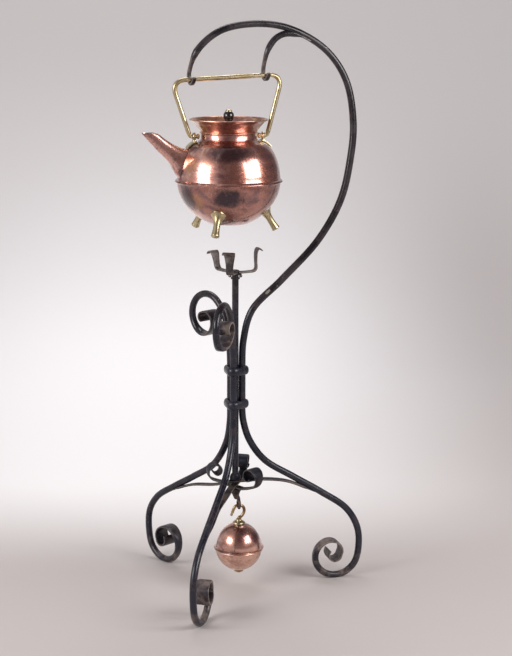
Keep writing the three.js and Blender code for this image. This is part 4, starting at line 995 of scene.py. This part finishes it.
bailCorners = [Vector((kettle.x + side * x, 0, z)) for side, x, z in (
    (-1, inner, ears.height), (-1, armFoot, ears.height), (-1, bail.left, barHeight(kettle.x - bail.left)),
    (1, bail.right, barHeight(kettle.x + bail.right)), (1, armFoot, ears.height), (1, inner, ears.height))]
bends = (bail.small, bail.bend, bail.bend, bail.small)
fine = [bailCorners[0]]
for before, corner, after, bend in zip(bailCorners, bailCorners[1:], bailCorners[2:], bends):
    toBefore, toAfter = (before - corner).normalized(), (after - corner).normalized()
    reach = bend / tan(toBefore.angle(toAfter) / 2)
    fine += [Vector(p) for p in bezier([corner + toBefore * reach, corner, corner + toAfter * reach], 16)]
fine.append(bailCorners[-1])
bailLine = evenly(fine, 1.5)
pin = Sizes(length=18, width=bar.pin, thickness=bar.pin, spread=2.2, power=2)
bailShape = drawnOut(bailLine, (bar.diameter, bar.diameter, 2), pin, pin)
bailRod = forge("bailRod", bailLine, bailShape, sides=24)
heads = [turned("peen", [
    (0, -2.6), (1.6, -2.5), (2.7, -2), (3.6, -1.1), (3.9, -0.3), (3.8, 0.8), (3.1, 1.7), (2, 2.1), (0, 2.2)],
    (kettle.x + side * (inner - 0.4), 0, ears.height), (side, 0, 0), 40) for side in (-1, 1)]
finish(joined("bail", [bailRod, *heads]), "brass", "handle", "bail_handle")

lid = Sizes(seat=699, wall=1.2, dome=6, knob=8, knobHeight=20.6)
edge = coneRadius(lid.seat) - coneWall - 0.3
seat, crown = lid.seat, lid.seat + lid.dome
domeLine = bezier([(edge * 0.8, seat + 0.7), (edge * 0.62, seat + 1.5), (edge * 0.4, crown), (7, crown)], 14)
finish(turned("lid", [
    (edge - 1.4, seat - 1.3), (edge - 0.4, seat - 0.6), (edge, seat), (edge - 0.3, seat + 0.5),
    (edge - 1, seat + 0.7), *domeLine, (2.3, crown), (2.3, crown - lid.wall),
    *[(r, z - lid.wall) for r, z in domeLine[::-1]]], kettleBase), "neck", "lid", "lid_plate")

foot, h = crown + 0.3, lid.knobHeight
knobLine = bezier([
    (4.6, foot + 3), (4.9, foot + 6), (lid.knob + 1.1, foot + h * 0.4), (lid.knob + 1, foot + h * 0.72),
    (6.6, foot + h * 0.86), (4.9, foot + h * 0.9)], 18)
finish(turned("knob", [
    (2.3, foot), (5.5, foot), (5.7, foot + 0.6), (5.2, foot + 1.5), *knobLine, (2.3, foot + h * 0.9)],
    kettleBase, steps=64), "wood", "lid", "lid_knob")
cap = foot + h * 0.9 + 0.3
finish(turned("knobDome", [
    (2.3, cap), (4.6, cap), (4.9, cap + 0.5), (4.8, cap + 1.1), (4.2, cap + 2), (3.2, cap + 2.8),
    (2, cap + 3.2), (0.9, cap + 3.45), (0, cap + 3.5)], kettleBase, steps=48), "brass", "lid", "knob_cap")
print("kettle done")

for node, look in (("ball_tie_rod", "hub"), ("knob_screw", "brass")):
    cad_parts[node].data.materials.clear()
    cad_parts[node].data.materials.append(looks[look][1])

# the studio is in metres; its camera stands where the photograph was taken
studio = Sizes(distance=2.3325, height=0.87126, around=14.5, yaw=0.755, pitch=11.319, roll=0.163, lens=112.5)
stemX, stemY = stemPlace.x / 1000, stemPlace.y / 1000


def studioPlace(azimuth, distance, height):
    # azimuth 0 is the camera's side of the stem, positive to the right
    angle = radians(studio.around - azimuth)
    return Vector((stemX - distance * sin(angle), stemY - distance * cos(angle), height))


bpy.ops.object.camera_add(location=studioPlace(0, studio.distance, studio.height))
camera = bpy.context.object
heading = -radians(studio.around + studio.yaw)
turn = Matrix.Rotation(heading, 4, "Z") @ Matrix.Rotation(radians(90 - studio.pitch), 4, "X")
turn = turn @ Matrix.Rotation(radians(studio.roll), 4, "Z")
camera.matrix_world = Matrix.Translation(camera.location) @ turn
camera.data.sensor_fit = "HORIZONTAL"
camera.data.lens = studio.lens
bpy.context.scene.camera = camera


def softbox(name, azimuth, elevation, distance, size, watts):
    aim = Vector((stemX, stemY, 0.62))
    height = aim.z + distance * sin(radians(elevation))
    place = studioPlace(azimuth, distance * cos(radians(elevation)), height)
    rotation = (aim - place).to_track_quat("-Z", "Y").to_euler()
    bpy.ops.object.light_add(type="AREA", location=place, rotation=rotation)
    lamp = bpy.context.object
    lamp.name = name
    lamp.data.shape = "RECTANGLE"
    lamp.data.size, lamp.data.size_y = size
    lamp.data.energy = watts


softbox("leftBox", -57, 14, 1.7, (0.82, 0.64), 15)
softbox("rightBox", 57, 20, 1.7, (1.15, 0.88), 23)
softbox("topBox", 180, 62, 1.9, (1.2, 0.8), 12)

# the dark room on the camera's side, seen only in the metal; its cloth glows dimly, painted light standing in
# for the room's own light
room = Sizes(radius=3.3, height=2.5, foot=0.15, span=128)
start = studioPlace(-room.span, room.radius, room.foot)
darkRoom = vertexAt("darkRoom", start)
centre = Vector((stemX, stemY, room.height))
inward = (centre - Vector((start.x, start.y, room.height))) * 0.9
for move in (Vector((0, 0, room.height - room.foot)), inward):
    bpy.ops.mesh.extrude_vertices_move(TRANSFORM_OT_translate={"value": move})
spin(40, radians(2 * room.span), centre, up)
darkRoom.visible_camera = False
glowingCloth = Look("darkGlowingCloth")
darkRoom.data.materials.append(glowingCloth.set(
    Base_Color=glowingCloth.mix(glowingCloth.cloud(3, 2), (70, 64, 66), (96, 88, 90)), Roughness=0.95,
    Emission_Color=colour(110, 98, 99), Emission_Strength=0.84))

# a sheet of paper runs over the floor and up behind the stand
paper = Sizes(front=-5, side=5, curve=1.2, bend=1.5, top=4)
profile = [(paper.front, 0), (-3, 0), (-1.5, 0), (0, 0), (0.8, 0)]
for i in range(25):
    angle = radians(90 * i / 24)
    profile.append((paper.bend + paper.curve * sin(angle), paper.curve - paper.curve * cos(angle)))
profile += [(paper.bend + paper.curve, 2.2), (paper.bend + paper.curve, paper.top)]
facing = Matrix.Rotation(-radians(studio.around), 3, "Z")
points = [facing @ Vector((x, y, z)) for y, z in profile for x in (-paper.side, paper.side)]
faces = [(2 * i, 2 * i + 1, 2 * i + 3, 2 * i + 2) for i in range(len(profile) - 1)]
sweep = meshPiece("sweep", points, faces)
pick(sweep)
bpy.ops.object.shade_smooth()

# grey, with a painted glow low on it, left of the stand, and painted light that brightens it towards the back
# and up the paper
backdrop = Look("backdrop")
facing = backdrop.node("Mapping", None, {"Vector": backdrop.node("TexCoord", output=3),
                                         "Rotation": (0, 0, radians(studio.around))})
side, depth, rise = (backdrop.node("SeparateXYZ", None, {0: facing}, output=i) for i in range(3))
along = depth + rise
glow = along.grade(0.0, 0.56) * along.grade(3.5, 1.6) * side.grade(0.72, -0.12)
glow = glow * side.grade(-1.3, -0.25, 0.35, 1)
# the far floor, where no lamp reaches, gets painted light to keep it as pale as the rest for the other views
farFloor = (depth * -1).grade(1.2, 2.8).atLeast(side.grade(1.6, 3)).atLeast(side.grade(-1.6, -3))
farFloor = farFloor * rise.grade(0.3, 0.05)
# the emission is painted light: the glow, the far floor and the brightening up the paper
paintedLight = farFloor * 0.36 + glow * 0.49 + along.grade(0.3, 1.6) * 0.16 + along.grade(2.1, 3.2) * 0.06
backdrop.set(Base_Color=colour(199, 192, 189), Roughness=0.9, Emission_Strength=1,
             Emission_Color=backdrop.mix(paintedLight, (0, 0, 0, 1), (0.94, 0.96, 1, 1)))
# seen from behind the paper isn't there
behind = backdrop.node("NewGeometry", output=6)
front, clear = Signal(backdrop, backdrop.shader.outputs[0]), backdrop.node("BsdfTransparent")
shown = backdrop.node("MixShader", None, {0: behind, 1: front, 2: clear})
backdrop.feed(backdrop.tree.nodes["Material Output"].inputs["Surface"], shown)
sweep.data.materials.append(backdrop.material)

world = bpy.data.worlds.new("room")
bpy.context.scene.world = world
world.use_nodes = True
world.node_tree.nodes["Background"].inputs["Color"].default_value = (0.52, 0.5, 0.5, 1)

bpy.context.scene.view_settings.view_transform = "Standard"
